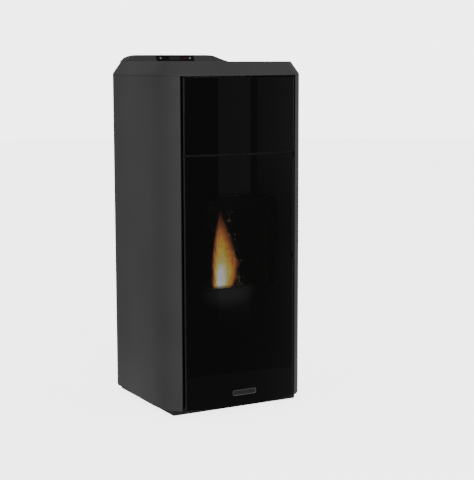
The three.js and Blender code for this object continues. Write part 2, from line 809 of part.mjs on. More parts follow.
function makeFireboxShell() {
  const wall = fireboxWall;
  const front = fireboxFrontY;
  const frontCut = front - overrun;
  const rearCut = fireboxRearY + overrun;
  const bottom = baseTop + fit;
  const mouthLow = hearth + mouthSill;
  const igniterZ = hearth - igniterDrop;
  const drawerHalf = drawerWidth / 2 + fit;
  const guideFront = innerFrontY + guideWidth;
  const guideBack = innerRearY - guideWidth;
  const guideLow = ashFloor - wall / 2;
  const guideHigh = ashFloor + guideHeight;
  const guide = block(drawerHalf, drawerHalf + guideWidth, guideFront, guideBack, guideLow, guideHigh);
  const drawerMouthTop = ashFloor + drawerMouthHeight;
  const potFront = potFrontY - potFlange;
  const potBack = potBackY + potFlange;
  const flangeWidth = potWidth + 2 * potFlange;
  const potHole = slab(flangeWidth, potFront, potBack, hearth - wall - overrun, hearth + overrun);
  const shell = slab(fireboxWidth, front, fireboxRearY, bottom, fireboxTop)
    .subtract(slab(innerWidth, frontCut, rearCut, bottom - overrun, ashFloor - wall))
    .subtract(slab(innerWidth, innerFrontY, innerRearY, ashFloor, hearth - wall))
    .subtract(slab(innerWidth, innerFrontY, innerRearY, hearth, chamberTop))
    .subtract(slab(mouthWidth, frontCut, innerFrontY + overrun, mouthLow, mouthLow + mouthHeight))
    .subtract(slab(drawerMouthWidth, frontCut, innerFrontY + overrun, ashFloor, drawerMouthTop))
    .subtract(potHole)
    .subtract(rod(smokePortRadius, innerRearY - overrun, rearCut, 'y', fanX, fanZ))
    .subtract(rod(airPortRadius, innerRearY - overrun, rearCut, 'y', airPipeX, airPipeZ))
    .subtract(rod(igniterRadius + fit, innerRearY - overrun, rearCut, 'y', 0, igniterZ))
    .subtract(chuteBar(chuteMargin, chuteLength))
    .add(guide)
    .add(guide.mirror([1, 0, 0]))
    .add(hingeBlocks());
  piece('firebox_shell', shell, blackSteel);
}

function makeLining() {
  const outer = innerWidth - 2 * fit;
  const front = innerFrontY + liningFrontGap;
  const back = innerRearY - fit;
  const low = hearth + fit;
  const high = low + liningHeight;
  const cutLow = low - overrun;
  const cutHigh = high + overrun;
  const lining = slab(outer, front, back, low, high)
    .subtract(slab(outer - 2 * liningThickness, front - overrun, liningBackFaceY, cutLow, cutHigh))
    .subtract(chuteBar(chuteMargin, chuteLength + overrun));
  piece('firebox_lining', lining, refractory);
  const baffleLow = high + fit;
  const baffle = slab(outer, front + baffleGap, back, baffleLow, baffleLow + baffleThickness);
  piece('baffle_plate', baffle, refractory);
}

function makeBurnPot() {
  const low = hearth + fit;
  const seatReach = potFlange + seatBorder;
  const seatHigh = low + seatThickness;
  const holeWidth = potWidth + 2 * fit;
  const seatHole = slab(holeWidth, potFrontY - fit, potBackY + fit, low - overrun, seatHigh + overrun);
  const seat = slab(potWidth + 2 * seatReach, potFrontY - seatReach, potBackY + seatReach, low, seatHigh)
    .subtract(seatHole);
  piece('pot_seat', seat, castIron);
  const flangeLow = seatHigh + fit;
  const flangeHigh = flangeLow + potFlangeThickness;
  const rim = hearth + potRimRise;
  const bottom = hearth - potSink;
  const floor = bottom + potWall;
  const holes = [];
  for (const x of [-1, 0, 1]) {
    for (const y of [-1, 0, 1]) {
      const holeX = x * potWidth / 4;
      const holeY = potMiddleY + y * potDepth / 4;
      holes.push(rod(potHoleRadius, bottom - overrun, floor + overrun, 'z', holeX, holeY));
    }
  }
  const flangeWidth = potWidth + 2 * potFlange;
  const pot = slab(potWidth, potFrontY, potBackY, bottom, rim)
    .add(slab(flangeWidth, potFrontY - potFlange, potBackY + potFlange, flangeLow, flangeHigh))
    .subtract(slab(potWidth - 2 * potWall, potFrontY + potWall, potBackY - potWall, floor, rim + overrun))
    .subtract(joined(holes));
  piece('burn_pot', pot, castIron);
  const igniterZ = hearth - igniterDrop;
  const igniter = rod(igniterRadius, potBackY + fit, fireboxRearY + igniterTail, 'y', 0, igniterZ);
  piece('igniter', igniter, stainless);
}

// Firebox door: cast frame with a rebated pane, a rope seal and a hinge of its own
const innerDoorOverlap = 14;
const innerDoorThickness = 13;
const innerDoorGap = 0.6;
const windowBorder = 24;
const windowSill = 28;
const windowHead = 36;
const windowCorner = 12;
const paneOverlap = 8;
const paneThickness = 5;
const sealWidth = 8;
const sealDepth = 5;
const innerDoorLow = hearth + mouthSill - innerDoorOverlap;
const innerDoorHigh = hearth + mouthSill + mouthHeight + innerDoorOverlap;
const innerDoorHalf = mouthWidth / 2 + innerDoorOverlap;
const innerDoorBackY = fireboxFrontY - innerDoorGap;
const innerDoorFrontY = innerDoorBackY - innerDoorThickness;

// Hinge of the firebox door: two blocks with welded pins on the shell, two knuckles on the door
const knuckleRadius = 6;
const knuckleLength = 26;
const knuckleInset = 40;
const knuckleCap = 3;
const innerPinRadius = 3;
const hingeBlockLength = 14;
const hingeBlockMargin = 1;
const innerHingeX = -innerDoorHalf - knuckleRadius;
const innerHingeY = innerDoorFrontY + knuckleRadius;
const knuckleLows = [innerDoorLow + knuckleInset, innerDoorHigh - knuckleInset - knuckleLength];

function hingeBlocks() {
  const left = innerHingeX - knuckleRadius;
  const right = innerHingeX + innerPinRadius + hingeBlockMargin;
  const front = innerHingeY - innerPinRadius - hingeBlockMargin;
  const back = fireboxFrontY + fireboxWall / 2;
  return joined(knuckleLows.map((low) => {
    const high = low - fit;
    const pinTop = low + knuckleLength - knuckleCap - fit;
    const pin = rod(innerPinRadius, high - hingeBlockLength, pinTop, 'z', innerHingeX, innerHingeY);
    return block(left, right, front, back, high - hingeBlockLength, high).add(pin);
  }));
}

function makeInnerDoor() {
  const door = new THREE.Group();
  stove.add(door);
  const windowHalf = innerDoorHalf - windowBorder;
  const windowLow = innerDoorLow + windowSill;
  const windowHigh = innerDoorHigh - windowHead;
  const front = innerDoorFrontY;
  const back = innerDoorBackY;
  const paneHalf = windowHalf + paneOverlap;
  const paneLow = windowLow - paneOverlap;
  const paneHigh = windowHigh + paneOverlap;
  const paneBack = back - sealDepth / 2;
  const paneFront = paneBack - paneThickness;
  const sealHalf = mouthWidth / 2 + sealWidth;
  const sealLow = hearth + mouthSill - sealWidth;
  const sealHigh = hearth + mouthSill + mouthHeight + sealWidth;
  const sealFront = back - sealDepth;
  const inside = sealWidth + fit;
  const coreWidth = 2 * (sealHalf - inside);
  const coreFront = sealFront - 2 * fit;
  const core = slab(coreWidth, coreFront, back + 2 * overrun, sealLow + inside, sealHigh - inside);
  const groove = slab(2 * (sealHalf + fit), sealFront - fit, back + overrun, sealLow - fit, sealHigh + fit)
    .subtract(core);
  const knuckles = joined(knuckleLows.map((low) => {
    const high = low + knuckleLength;
    const leaf = block(innerHingeX, -innerDoorHalf + overrun, front, innerHingeY, low, high);
    return rod(knuckleRadius, low, high, 'z', innerHingeX, innerHingeY).add(leaf);
  }));
  const bores = joined(knuckleLows.map((low) => {
    const high = low + knuckleLength - knuckleCap;
    return rod(innerPinRadius + runningFit, low - overrun, high, 'z', innerHingeX, innerHingeY);
  }));
  const windowOutline = roundedPoints(-windowHalf, windowHalf, windowLow, windowHigh, windowCorner);
  const frame = slab(2 * innerDoorHalf, front, back, innerDoorLow, innerDoorHigh)
    .add(knuckles)
    .subtract(bores)
    .subtract(prism(windowOutline, front - overrun, back + overrun, 'y'))
    .subtract(slab(2 * (paneHalf + fit), paneFront - fit, back + overrun, paneLow - fit, paneHigh + fit))
    .subtract(groove);
  piece('firebox_door', frame, castIron, door);
  piece('firebox_glass', slab(2 * paneHalf, paneFront, paneBack, paneLow, paneHigh), clearGlass, door);
  const holeWidth = 2 * (sealHalf - sealWidth);
  const holeFront = sealFront - overrun;
  const sealHole = slab(holeWidth, holeFront, back + overrun, sealLow + sealWidth, sealHigh - sealWidth);
  const seal = slab(2 * sealHalf, sealFront, back + fit, sealLow, sealHigh).subtract(sealHole);
  piece('firebox_door_seal', seal, rope, door);
  makeInnerHandle(door);
}

// Handle of the firebox door: a flat bar that turns on a pin near the free edge
const handleLength = 70;
const handleWidth = 12;
const handleThickness = 5;
const handleInset = 12;
const handlePinRadius = 4;
const handleBoss = 9;
const handleBossThickness = 3;

function makeInnerHandle(door) {
  const handle = new THREE.Group();
  const middleZ = (innerDoorLow + innerDoorHigh) / 2;
  handle.position.set(innerDoorHalf - handleInset, innerDoorFrontY - fit, middleZ);
  door.add(handle);
  const half = handleWidth / 2;
  const front = -handleBossThickness - handleThickness;
  const bar = block(-half, half, front, -handleBossThickness, -handleLength, handleBoss)
    .add(rod(handleBoss, front, 0, 'y'));
  piece('firebox_handle', bar, stainless, handle);
}

// Ash drawer: a folded box with a front plate over the drawer's mouth and a bar to pull
const drawerSideGap = 3;
const drawerWidth = drawerMouthWidth - 2 * drawerSideGap;
const drawerHeight = 100;
const drawerBackGap = 8;
const drawerWall = 2;
const drawerFrontOverlap = 12;
const drawerFrontThickness = 3;
const pullBarWidth = 110;
const pullBarDepth = 4;
const pullBarHeight = 10;
const pullBarReach = 14;
const pullPostWidth = 8;

function makeAshDrawer() {
  const low = ashFloor + fit;
  const high = low + drawerHeight;
  const plateBack = fireboxFrontY - fit;
  const plateFront = plateBack - drawerFrontThickness;
  const back = innerRearY - drawerBackGap;
  const plateWidth = drawerMouthWidth + 2 * drawerFrontOverlap;
  const plateLow = ashFloor - drawerFrontOverlap;
  const plateHigh = ashFloor + drawerMouthHeight + drawerFrontOverlap;
  const wall = drawerWall;
  const drawer = slab(drawerWidth, plateFront, back, low, high)
    .subtract(slab(drawerWidth - 2 * wall, plateBack + wall, back - wall, low + wall, high + overrun))
    .add(slab(plateWidth, plateFront, plateBack, plateLow, plateHigh));
  const barZ = ashFloor + drawerMouthHeight / 2;
  const barLow = barZ - pullBarHeight / 2;
  const barHigh = barZ + pullBarHeight / 2;
  const barBack = plateFront - pullBarReach + pullBarDepth;
  const barFront = barBack - pullBarDepth;
  const barHalf = pullBarWidth / 2;
  const post = block(barHalf - pullPostWidth, barHalf, barFront, plateBack, barLow, barHigh);
  const bar = slab(pullBarWidth, barFront, barBack, barLow, barHigh)
    .add(post)
    .add(post.mirror([1, 0, 0]));
  piece('ash_drawer', drawer.add(bar), galvanised);
}

// Hopper: an open box under the lid that narrows to the inlet of the auger tube
const hopperWall = 2;
const hopperSideSpace = 80;
const hopperLidGap = 3;
const hopperWidth = casingWidth - 2 * hopperSideSpace;
const hopperFrontGap = 14;
const hopperRearGap = 58;
const funnelRise = 160;
const ductRise = 16;
const ductOffset = -85;
const ductWidth = 56;
const ductDepth = 44;
const gridThickness = 5;
const gridBar = 4;
const gridColumns = 9;
const gridRows = 2;
const hopperFrontY = lidFrontY + hopperFrontGap;
const hopperRearY = rearInnerY - hopperRearGap;
const hopperTop = deckHeight - lidThickness - lidTrayDepth - hopperLidGap;
const funnelTop = fireboxTop + funnelRise;
const ductTop = outletZ;

function hopperForm(wall, extra) {
  const half = hopperWidth / 2 - wall;
  const front = hopperFrontY + wall;
  const back = hopperRearY - wall;
  const ductLeft = ductOffset - ductWidth / 2 + wall;
  const ductRight = ductOffset + ductWidth / 2 - wall;
  const ductFront = augerY - ductDepth / 2 + wall;
  const ductBack = augerY + ductDepth / 2 - wall;
  const corners = [];
  for (const [left, right, near, far, z] of [
    [-half, half, front, back, funnelTop],
    [ductLeft, ductRight, ductFront, ductBack, ductTop],
  ]) {
    for (const x of [left, right]) {
      corners.push(new THREE.Vector3(x, near, z));
      corners.push(new THREE.Vector3(x, far, z));
    }
  }
  const ductLow = outletZ - tubeBelowOutlet;
  return block(-half, half, front, back, funnelTop, hopperTop + extra)
    .add(solid(new ConvexGeometry(corners)))
    .add(block(ductLeft, ductRight, ductFront, ductBack, ductLow, ductTop));
}

function makeHopper() {
  const span = tubeBelowOutlet + tubeAboveOutlet;
  const clearTube = rod(tubeRadius + fit, -2 * span, span);
  const clearBelow = block(0, span, -span / 2, span / 2, -2 * span, span);
  const clear = placed(clearTube.add(clearBelow), augerMatrix);
  const shell = hopperForm(0, 0).subtract(hopperForm(hopperWall, overrun)).subtract(clear);
  piece('hopper', shell, galvanised);
  const width = hopperWidth - 2 * (hopperWall + fit);
  const front = hopperFrontY + hopperWall + fit;
  const back = hopperRearY - hopperWall - fit;
  const low = funnelTop + fit;
  const high = low + gridThickness;
  const bars = [];
  for (let column = 0; column <= gridColumns; column += 1) {
    const left = -width / 2 + column * (width - gridBar) / gridColumns;
    bars.push(block(left, left + gridBar, front, back, low, high));
  }
  for (let row = 0; row <= gridRows; row += 1) {
    const start = front + row * (back - front - gridBar) / gridRows;
    bars.push(slab(width, start, start + gridBar, low, high));
  }
  piece('hopper_grid', joined(bars), stainless);
}

// Auger: tube, screw and gearmotor, drawn upright and then tilted together
const screwPitch = 36;
const screwRadius = 22.8;
const flightThickness = 3;
const stepsPerTurn = 12;
const gearboxSize = 56;
const gearboxLength = 30;
const motorRadius = 24;
const motorLength = 46;
const shaftSink = 14;
const flightRootShare = 0.8;

function flight(low, high) {
  const turns = (high - flightThickness - low) / screwPitch;
  const steps = Math.round(turns * stepsPerTurn);
  const rootRadius = augerShaftRadius * flightRootShare;
  const thickness = flightThickness;
  const corners = [[rootRadius, 0], [screwRadius, 0], [screwRadius, thickness], [rootRadius, thickness]];
  const positions = [];
  const indices = [];
  for (let step = 0; step <= steps; step += 1) {
    const turn = 2 * Math.PI * turns * step / steps;
    const height = low + (high - flightThickness - low) * step / steps;
    for (const [radius, rise] of corners) {
      positions.push(radius * Math.cos(turn), radius * Math.sin(turn), height + rise);
    }
  }
  for (let step = 0; step < steps; step += 1) {
    for (let corner = 0; corner < 4; corner += 1) {
      const here = 4 * step + corner;
      const next = 4 * step + (corner + 1) % 4;
      indices.push(here, here + 4, next, next, here + 4, next + 4);
    }
  }
  const last = 4 * steps;
  indices.push(0, 1, 2, 0, 2, 3, last, last + 2, last + 1, last, last + 3, last + 2);
  const geometry = new THREE.BufferGeometry();
  geometry.setAttribute('position', new THREE.BufferAttribute(new Float32Array(positions), 3));
  geometry.setIndex(indices);
  return solid(geometry);
}

function makeAuger() {
  const auger = new THREE.Group();
  augerMatrix.decompose(auger.position, auger.quaternion, auger.scale);
  stove.add(auger);
  const low = -tubeBelowOutlet;
  const high = tubeAboveOutlet;
  const inletMiddle = ductOffset / Math.sin(augerTilt);
  const inletHalf = ductWidth / 2;
  const outletHalf = chuteWidth / 3;
  const boreRadius = tubeRadius - tubeWall;
  const cutOuter = -tubeRadius - overrun;
  const cutInner = -tubeRadius / 2;
  const cutHalf = ductDepth / 3;
  const inletLow = inletMiddle - inletHalf;
  const inletHigh = inletMiddle + inletHalf;
  const tube = rod(tubeRadius, low, high)
    .subtract(rod(boreRadius, low - overrun, high - tubeEndWall))
    .subtract(rod(augerShaftRadius + runningFit, high - 2 * tubeEndWall, high + overrun))
    .subtract(block(cutOuter, cutInner, -cutHalf, cutHalf, inletLow, inletHigh))
    .subtract(block(-outletHalf, outletHalf, cutOuter, cutInner, -outletHalf, outletHalf));
  piece('auger_tube', tube, galvanised, auger);
  const shaftLow = low - shaftSink;
  const screw = rod(augerShaftRadius, shaftLow, high - fit)
    .add(flight(low + 2 * overrun, high - tubeEndWall - overrun));
  piece('auger_screw', screw, stainless, auger);
  const gearHigh = low - fit;
  const gearLow = gearHigh - gearboxLength;
  const gearmotor = slab(gearboxSize, -gearboxSize / 2, gearboxSize / 2, gearLow, gearHigh)
    .add(rod(motorRadius, gearLow - motorLength, gearLow + overrun))
    .subtract(rod(augerShaftRadius + runningFit, shaftLow - fit, gearHigh + overrun));
  piece('auger_gearmotor', gearmotor, blackPlastic, auger);
}

function makeChute() {
  const outer = chuteBar(0, chuteLength);
  const inner = chuteBar(-chuteWall, chuteLength + overrun);
  const span = tubeBelowOutlet + tubeAboveOutlet;
  const clear = placed(rod(tubeRadius + fit, -span, span), augerMatrix);
  const behind = block(-span, span, augerY, augerY + span, outletZ - span, outletZ + span);
  piece('pellet_chute', outer.subtract(inner).subtract(clear).subtract(behind), galvanised);
}

// Smoke extraction: drum and duct, impeller, motor and the flue outlet
const drumRadius = 62;
const drumWall = 2;
const drumGap = 18;
const drumDepth = 54;
const inletDuctRadius = 30;
const smokeDuctHeight = 40;
const smokeMotorRadius = 34;
const smokeMotorLength = 56;
const fanShaftRadius = 4;
const fanShaftSink = 20;
const fanShaftHole = 6;
const impellerRadius = 50;
const impellerPlate = 2;
const impellerGap = 6;
const bladeCount = 10;
const bladeThickness = 2;
const bladeInnerRadius = 22;
const hubRadius = 10;
const flueWall = 2;
const flueStub = 30;
const airStub = 22;
const flueFrontGap = 16;
const drumFrontY = fireboxRearY + drumGap;
const drumBackY = drumFrontY + drumDepth;

function makeSmokeFan() {
  const wall = drumWall;
  const ductLow = fanZ - drumRadius;
  const ductHigh = ductLow + smokeDuctHeight;
  const ductLeft = flueX;
  const cavityFront = drumFrontY + wall;
  const cavityBack = drumBackY - wall;
  const clearFlue = rod(flueRadius + fit, drumFrontY - overrun, drumBackY + overrun, 'y', flueX, flueZ);
  const outside = rod(drumRadius, drumFrontY, drumBackY, 'y', fanX, fanZ)
    .add(block(ductLeft, fanX, drumFrontY, drumBackY, ductLow, ductHigh))
    .add(rod(inletDuctRadius, fireboxRearY + fit, drumFrontY + wall, 'y', fanX, fanZ));
  const inside = rod(drumRadius - wall, cavityFront, cavityBack, 'y', fanX, fanZ)
    .add(block(ductLeft - overrun, fanX, cavityFront, cavityBack, ductLow + wall, ductHigh - wall))
    .add(rod(inletDuctRadius - wall, fireboxRearY - overrun, cavityFront + wall, 'y', fanX, fanZ));
  const cutFront = drumFrontY - overrun;
  const cutBack = drumBackY + overrun;
  const cutLeft = ductLeft - flueRadius;
  const housing = outside
    .subtract(inside)
    .subtract(rod(fanShaftHole, cavityBack - overrun, cutBack, 'y', fanX, fanZ))
    .subtract(block(cutLeft, ductLeft, cutFront, cutBack, ductLow - overrun, ductHigh + overrun))
    .subtract(clearFlue);
  piece('smoke_fan_housing', housing, galvanised);
  const plateBack = cavityBack - impellerGap;
  const plateFront = plateBack - impellerPlate;
  const bladeFront = cavityFront + impellerGap;
  const bladeBack = plateFront + impellerPlate / 2;
  const bladeHalf = bladeThickness / 2;
  const bladeTip = impellerRadius - overrun;
  const blade = block(bladeInnerRadius, bladeTip, bladeFront, bladeBack, -bladeHalf, bladeHalf);
  const turnedBlade = (_, index) => blade.rotate([0, 360 * index / bladeCount, 0]);
  const blades = joined(Array.from({ length: bladeCount }, turnedBlade));
  const shaftEnd = drumBackY + fit + fanShaftSink;
  const impeller = rod(impellerRadius, plateFront, plateBack, 'y')
    .add(rod(hubRadius, bladeFront, plateBack, 'y'))
    .add(rod(fanShaftRadius, plateFront, shaftEnd, 'y'))
    .add(blades);
  piece('smoke_fan_impeller', impeller, stainless).position.set(fanX, 0, fanZ);
  const motorFront = drumBackY + fit;
  const motor = rod(smokeMotorRadius, motorFront, motorFront + smokeMotorLength, 'y', fanX, fanZ)
    .subtract(rod(fanShaftRadius + runningFit, motorFront - overrun, shaftEnd + fit, 'y', fanX, fanZ));
  piece('smoke_fan_motor', motor, blackPlastic);
}

function makePipes() {
  const wall = flueWall;
  const front = fireboxRearY + flueFrontGap;
  const back = rearY + flueStub;
  const ductLow = fanZ - drumRadius;
  const portRight = flueX + flueRadius + overrun;
  const portHigh = ductLow + smokeDuctHeight - wall;
  const port = block(flueX, portRight, drumFrontY + wall, drumBackY - wall, ductLow + wall, portHigh);
  const flue = rod(flueRadius, front, back, 'y', flueX, flueZ)
    .subtract(rod(flueRadius - wall, front + wall, back + overrun, 'y', flueX, flueZ))
    .subtract(port);
  piece('flue_outlet', flue, galvanised);
  const airFront = fireboxRearY + fit;
  const airBack = rearY + airStub;
  const air = rod(airPipeRadius, airFront, airBack, 'y', airPipeX, airPipeZ)
    .subtract(rod(airPipeRadius - wall, airFront - overrun, airBack + overrun, 'y', airPipeX, airPipeZ));
  piece('air_inlet_pipe', air, galvanised);
}

// Room fan: a tangential wheel in a curved housing that rests on the base plate
const wheelRadius = 25;
const wheelWidth = 190;
const wheelGap = 4;
const wheelShaftRadius = 3;
const wheelBlades = 14;
const wheelBladeThickness = 1.6;
const wheelBladeDepth = 8;
const scrollWall = 2;
const scrollRadius = 30;
const scrollStartShare = -0.15;
const scrollEndShare = 0.62;
const scrollSteps = 12;
const roomMotorRadius = 18;
const roomMotorLength = 36;
const roomFanSetback = 78;
const roomFanLift = 4;
const roomFanY = fireboxRearY + roomFanSetback;
const roomFanZ = baseTop + scrollRadius + scrollWall + roomFanLift;

function scrollSection() {
  const points = [];
  const turnAt = (share) => Math.PI * (1 - 2 * share);
  for (const [radius, backwards] of [[scrollRadius + scrollWall, false], [scrollRadius, true]]) {
    for (let step = 0; step <= scrollSteps; step += 1) {
      const along = backwards ? 1 - step / scrollSteps : step / scrollSteps;
      const share = scrollStartShare + (scrollEndShare - scrollStartShare) * along;
      const turn = turnAt(share) + Math.PI / 2;
      points.push(new THREE.Vector2(roomFanY + radius * Math.cos(turn), roomFanZ + radius * Math.sin(turn)));
    }
  }
  return points;
}

function makeRoomFan() {
  const half = wheelWidth / 2 + wheelGap;
  const outerHalf = half + scrollWall;
  const plateFront = roomFanY - scrollRadius - scrollWall;
  const plateBack = roomFanY + scrollRadius + scrollWall;
  const plateLow = baseTop + fit;
  const plateHigh = roomFanZ + scrollRadius + scrollWall;
  const boreRadius = wheelShaftRadius + runningFit;
  const plate = block(half, outerHalf, plateFront, plateBack, plateLow, plateHigh);
  const housing = prism(scrollSection(), -half - scrollWall / 2, half + scrollWall / 2, 'x')
    .add(plate)
    .add(plate.mirror([1, 0, 0]))
    .subtract(rod(boreRadius, -outerHalf - overrun, outerHalf + overrun, 'x', roomFanY, roomFanZ));
  piece('room_fan_housing', housing, galvanised);
  const wheelHalf = wheelWidth / 2;
  const disc = rod(wheelRadius, -wheelHalf, -wheelHalf + scrollWall, 'x');
  const bladeTop = wheelRadius - wheelBladeThickness / 2;
  const bladeHalf = wheelBladeThickness / 2;
  const blade = slab(wheelWidth, -bladeHalf, bladeHalf, bladeTop - wheelBladeDepth, bladeTop);
  const turnedBlade = (_, index) => blade.rotate([360 * index / wheelBlades, 0, 0]);
  const blades = joined(Array.from({ length: wheelBlades }, turnedBlade));
  const shaftRight = outerHalf + fit + roomMotorLength / 2;
  const wheel = disc
    .add(disc.mirror([1, 0, 0]))
    .add(blades)
    .add(rod(wheelShaftRadius, -outerHalf, shaftRight, 'x'));
  piece('room_fan_wheel', wheel, galvanised).position.set(0, roomFanY, roomFanZ);
  const motorLeft = outerHalf + fit;
  const motor = rod(roomMotorRadius, motorLeft, motorLeft + roomMotorLength, 'x', roomFanY, roomFanZ)
    .subtract(rod(boreRadius, motorLeft - overrun, shaftRight + fit, 'x', roomFanY, roomFanZ));
  piece('room_fan_motor', motor, blackPlastic);
}

// Electrical pieces on the rear panel
const inletDepth = 26;
const inletFlange = 3;
const inletFlangeThickness = 2;
const socketWidth = 22;
const socketHeight = 16;
const socketDepth = 15;
const socketOffset = -12;
const pinSpread = 7;
const rockerWidth = 12;
const rockerHeight = 18;
const rockerDepth = 8;
const rockerOffset = 14;
const rockerTilt = 10;
const rockerPivotSink = 4;
const rockerDishShare = 0.6;
const capZ = 150;
const capRadius = 9;
const capLength = 12;
const capStudRadius = 5;
const capStudLength = 14;

function makeMainsInlet() {
  const half = inletWidth / 2;
  const halfHeight = inletHeight / 2;
  const flangeBack = rearY + fit + inletFlangeThickness;
  const front = flangeBack - inletDepth;
  const flangeHalf = half + inletFlange;
  const flangeHalfHeight = halfHeight + inletFlange;
  const cutBack = flangeBack + overrun;
  const socketLow = socketOffset - socketHeight / 2;
  const rockerFront = flangeBack - rockerDepth - rockerPivotSink;
  const rockerLow = rockerOffset - rockerHeight / 2 - overrun;
  const rockerHigh = rockerOffset + rockerHeight / 2 + overrun;
  const inlet = slab(inletWidth, front, flangeBack, -halfHeight, halfHeight)
    .add(slab(2 * flangeHalf, rearY + fit, flangeBack, -flangeHalfHeight, flangeHalfHeight))
    .subtract(slab(socketWidth, flangeBack - socketDepth, cutBack, socketLow, socketLow + socketHeight))
    .subtract(slab(rockerWidth + 2 * fit, rockerFront, cutBack, rockerLow, rockerHigh));
  piece('mains_inlet', inlet, blackPlastic).position.set(inletX, 0, inletZ);
  const rocker = new THREE.Group();
  rocker.position.set(inletX, flangeBack - rockerPivotSink, inletZ + rockerOffset);
  rocker.rotation.x = THREE.MathUtils.degToRad(rockerTilt);
  stove.add(rocker);
  const reach = rockerHeight / 2;
  const face = rockerDepth / 2;
  const dish = face * rockerDishShare;
  const back = -face / 2;
  const section = [[-face, 0], [back, -reach], [face, -reach], [dish, 0], [face, reach], [back, reach]];
  const outline = section.map(([y, z]) => new THREE.Vector2(y, z));
  piece('rocker_switch', prism(outline, -rockerWidth / 2, rockerWidth / 2, 'x'), redLens, rocker);
  const capFront = rearY + fit;
  const cap = rod(capRadius, capFront, capFront + capLength, 'y', inletX, capZ)
    .add(rod(capStudRadius, rearInnerY - capStudLength, capFront + overrun, 'y', inletX, capZ));
  piece('thermostat_cap', cap, blackPlastic);
}

// Control board on four spacers inside the rear panel
const boardWidth = 150;
const boardHeight = 90;
const boardThickness = 1.6;
const boardDrop = 10.7;
const boardTop = panelTop - boardDrop;
const spacerLength = 12;
const spacerRadius = 3;
const spacerInset = 8;
const relaySize = 16;
const relayCount = 4;

function makeControlBoard() {
  const back = rearInnerY - fit - spacerLength;
  const front = back - boardThickness;
  const low = boardTop - boardHeight;
  const spacers = [];
  for (const side of [-1, 1]) {
    for (const z of [low + spacerInset, boardTop - spacerInset]) {
      const x = side * (boardWidth / 2 - spacerInset);
      spacers.push(rod(spacerRadius, back - boardThickness / 2, rearInnerY - fit, 'y', x, z));
    }
  }
  const relays = Array.from({ length: relayCount }, (_, index) => {
    const left = -boardWidth / 2 + spacerInset + index * boardWidth / relayCount;
    const bottom = low + spacerInset;
    const relayBack = front + boardThickness / 2;
    return block(left, left + relaySize, front - relaySize, relayBack, bottom, bottom + relaySize);
  });
  const board = slab(boardWidth, front, back, low, boardTop).add(joined(spacers)).add(joined(relays));
  piece('control_board', board, boardGreen);
}

makePlinth();
makeFeet();
makeBasePlate();
makeSidePanels();
makeRearPanel();
makeTopCover();
makeControlPanel();
makeLid();
makeFrontFrame();
makeUpperFront();
makeOuterDoor();
makeDoorHinges();
makeFireboxShell();
makeLining();
makeBurnPot();
makeInnerDoor();
makeAshDrawer();
makeHopper();
makeAuger();
makeChute();
makeSmokeFan();
makePipes();
makeRoomFan();
makeMainsInlet();
makeControlBoard();

// The glass bulges forwards and the flue stub backwards, so the stove is moved until its box is centred
const foremost = frontY - glassBow - coverProud;
const rearmost = rearY + flueStub;
stove.position.y = -(foremost + rearmost) / 2;

export default stove;
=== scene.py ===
import math
import random

import bpy
from mathutils import Matrix, Vector
from mathutils.geometry import interpolate_bezier


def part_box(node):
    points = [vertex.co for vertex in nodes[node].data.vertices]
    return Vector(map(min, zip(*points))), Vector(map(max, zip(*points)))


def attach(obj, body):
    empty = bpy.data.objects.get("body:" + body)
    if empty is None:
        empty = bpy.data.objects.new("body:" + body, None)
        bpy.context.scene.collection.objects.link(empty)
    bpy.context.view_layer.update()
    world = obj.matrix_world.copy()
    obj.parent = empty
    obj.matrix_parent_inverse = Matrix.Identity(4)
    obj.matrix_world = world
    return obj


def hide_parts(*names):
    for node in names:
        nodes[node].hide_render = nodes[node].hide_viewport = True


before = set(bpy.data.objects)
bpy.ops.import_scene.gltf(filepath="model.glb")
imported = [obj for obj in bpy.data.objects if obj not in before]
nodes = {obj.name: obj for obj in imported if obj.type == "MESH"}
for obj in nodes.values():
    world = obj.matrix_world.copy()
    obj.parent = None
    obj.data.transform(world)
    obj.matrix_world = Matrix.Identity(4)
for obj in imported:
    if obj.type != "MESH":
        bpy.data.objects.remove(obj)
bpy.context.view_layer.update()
scene = bpy.context.scene

# Studio: a pale light table in a white tent, as for a catalogue picture. The table and the tent glow for
# the camera alone, an even soft sky lights the stove, and tall cards draw bands on its bowed glass.
mm = 0.001
CAMERA_PLACE = (-1.748, -3.3415, 1.001)
CAMERA_TILT = math.radians(81.99)
CAMERA_ROLL = math.radians(0.12)
CAMERA_TURN = math.radians(-29.1)
CAMERA_LENS = 95.4
VIEW_END = 60.0
WHITE = "#ffffff"
BLACK = "#000000"
SKY_FRONT = 0.85
SKY_BACK = 0.55
SKY_BEARINGS = (-0.5, 0.8)
FILL_WATTS = 60
FILL_PLACE = (-1.5, -3.4, 1.3)
FILL_TARGET = (0, 0, 0.5)
FILL_SIDE = 1.2
TENT_GLOW = 4.5
TENT_RADIUS = 13.0
TENT_SEGMENTS = 32
TABLE_GLOW = 3.4
TABLE_HALF = 14.0
TABLE_STEPS = 6
CARD_DISTANCE = 3.5
CARD_TOP = 2.6
SHEET_RADIUS = 0.7
SHEET_SIDES = 64
SHEET_LIFT = 0.5 * mm
SHEET_GLOW = 0.28


def linear(code):
    """An sRGB hex value as the linear colour that a shader takes."""
    shares = [int(code[start:start + 2], 16) / 255 for start in (1, 3, 5)]
    return [s / 12.92 if s <= 0.04045 else ((s + 0.055) / 1.055) ** 2.4 for s in shares] + [1.0]


def add_node(tree, kind, settings=None, links=None):
    """Adds a shader node, sets its sockets or properties, and links its sockets to other outputs."""
    node = tree.nodes.new(kind)
    for key, value in (settings or {}).items():
        if isinstance(key, int) or key in node.inputs:
            node.inputs[key].default_value = value
        else:
            setattr(node, key, value)
    for key, source in (links or {}).items():
        tree.links.new(source, node.inputs[key])
    return node


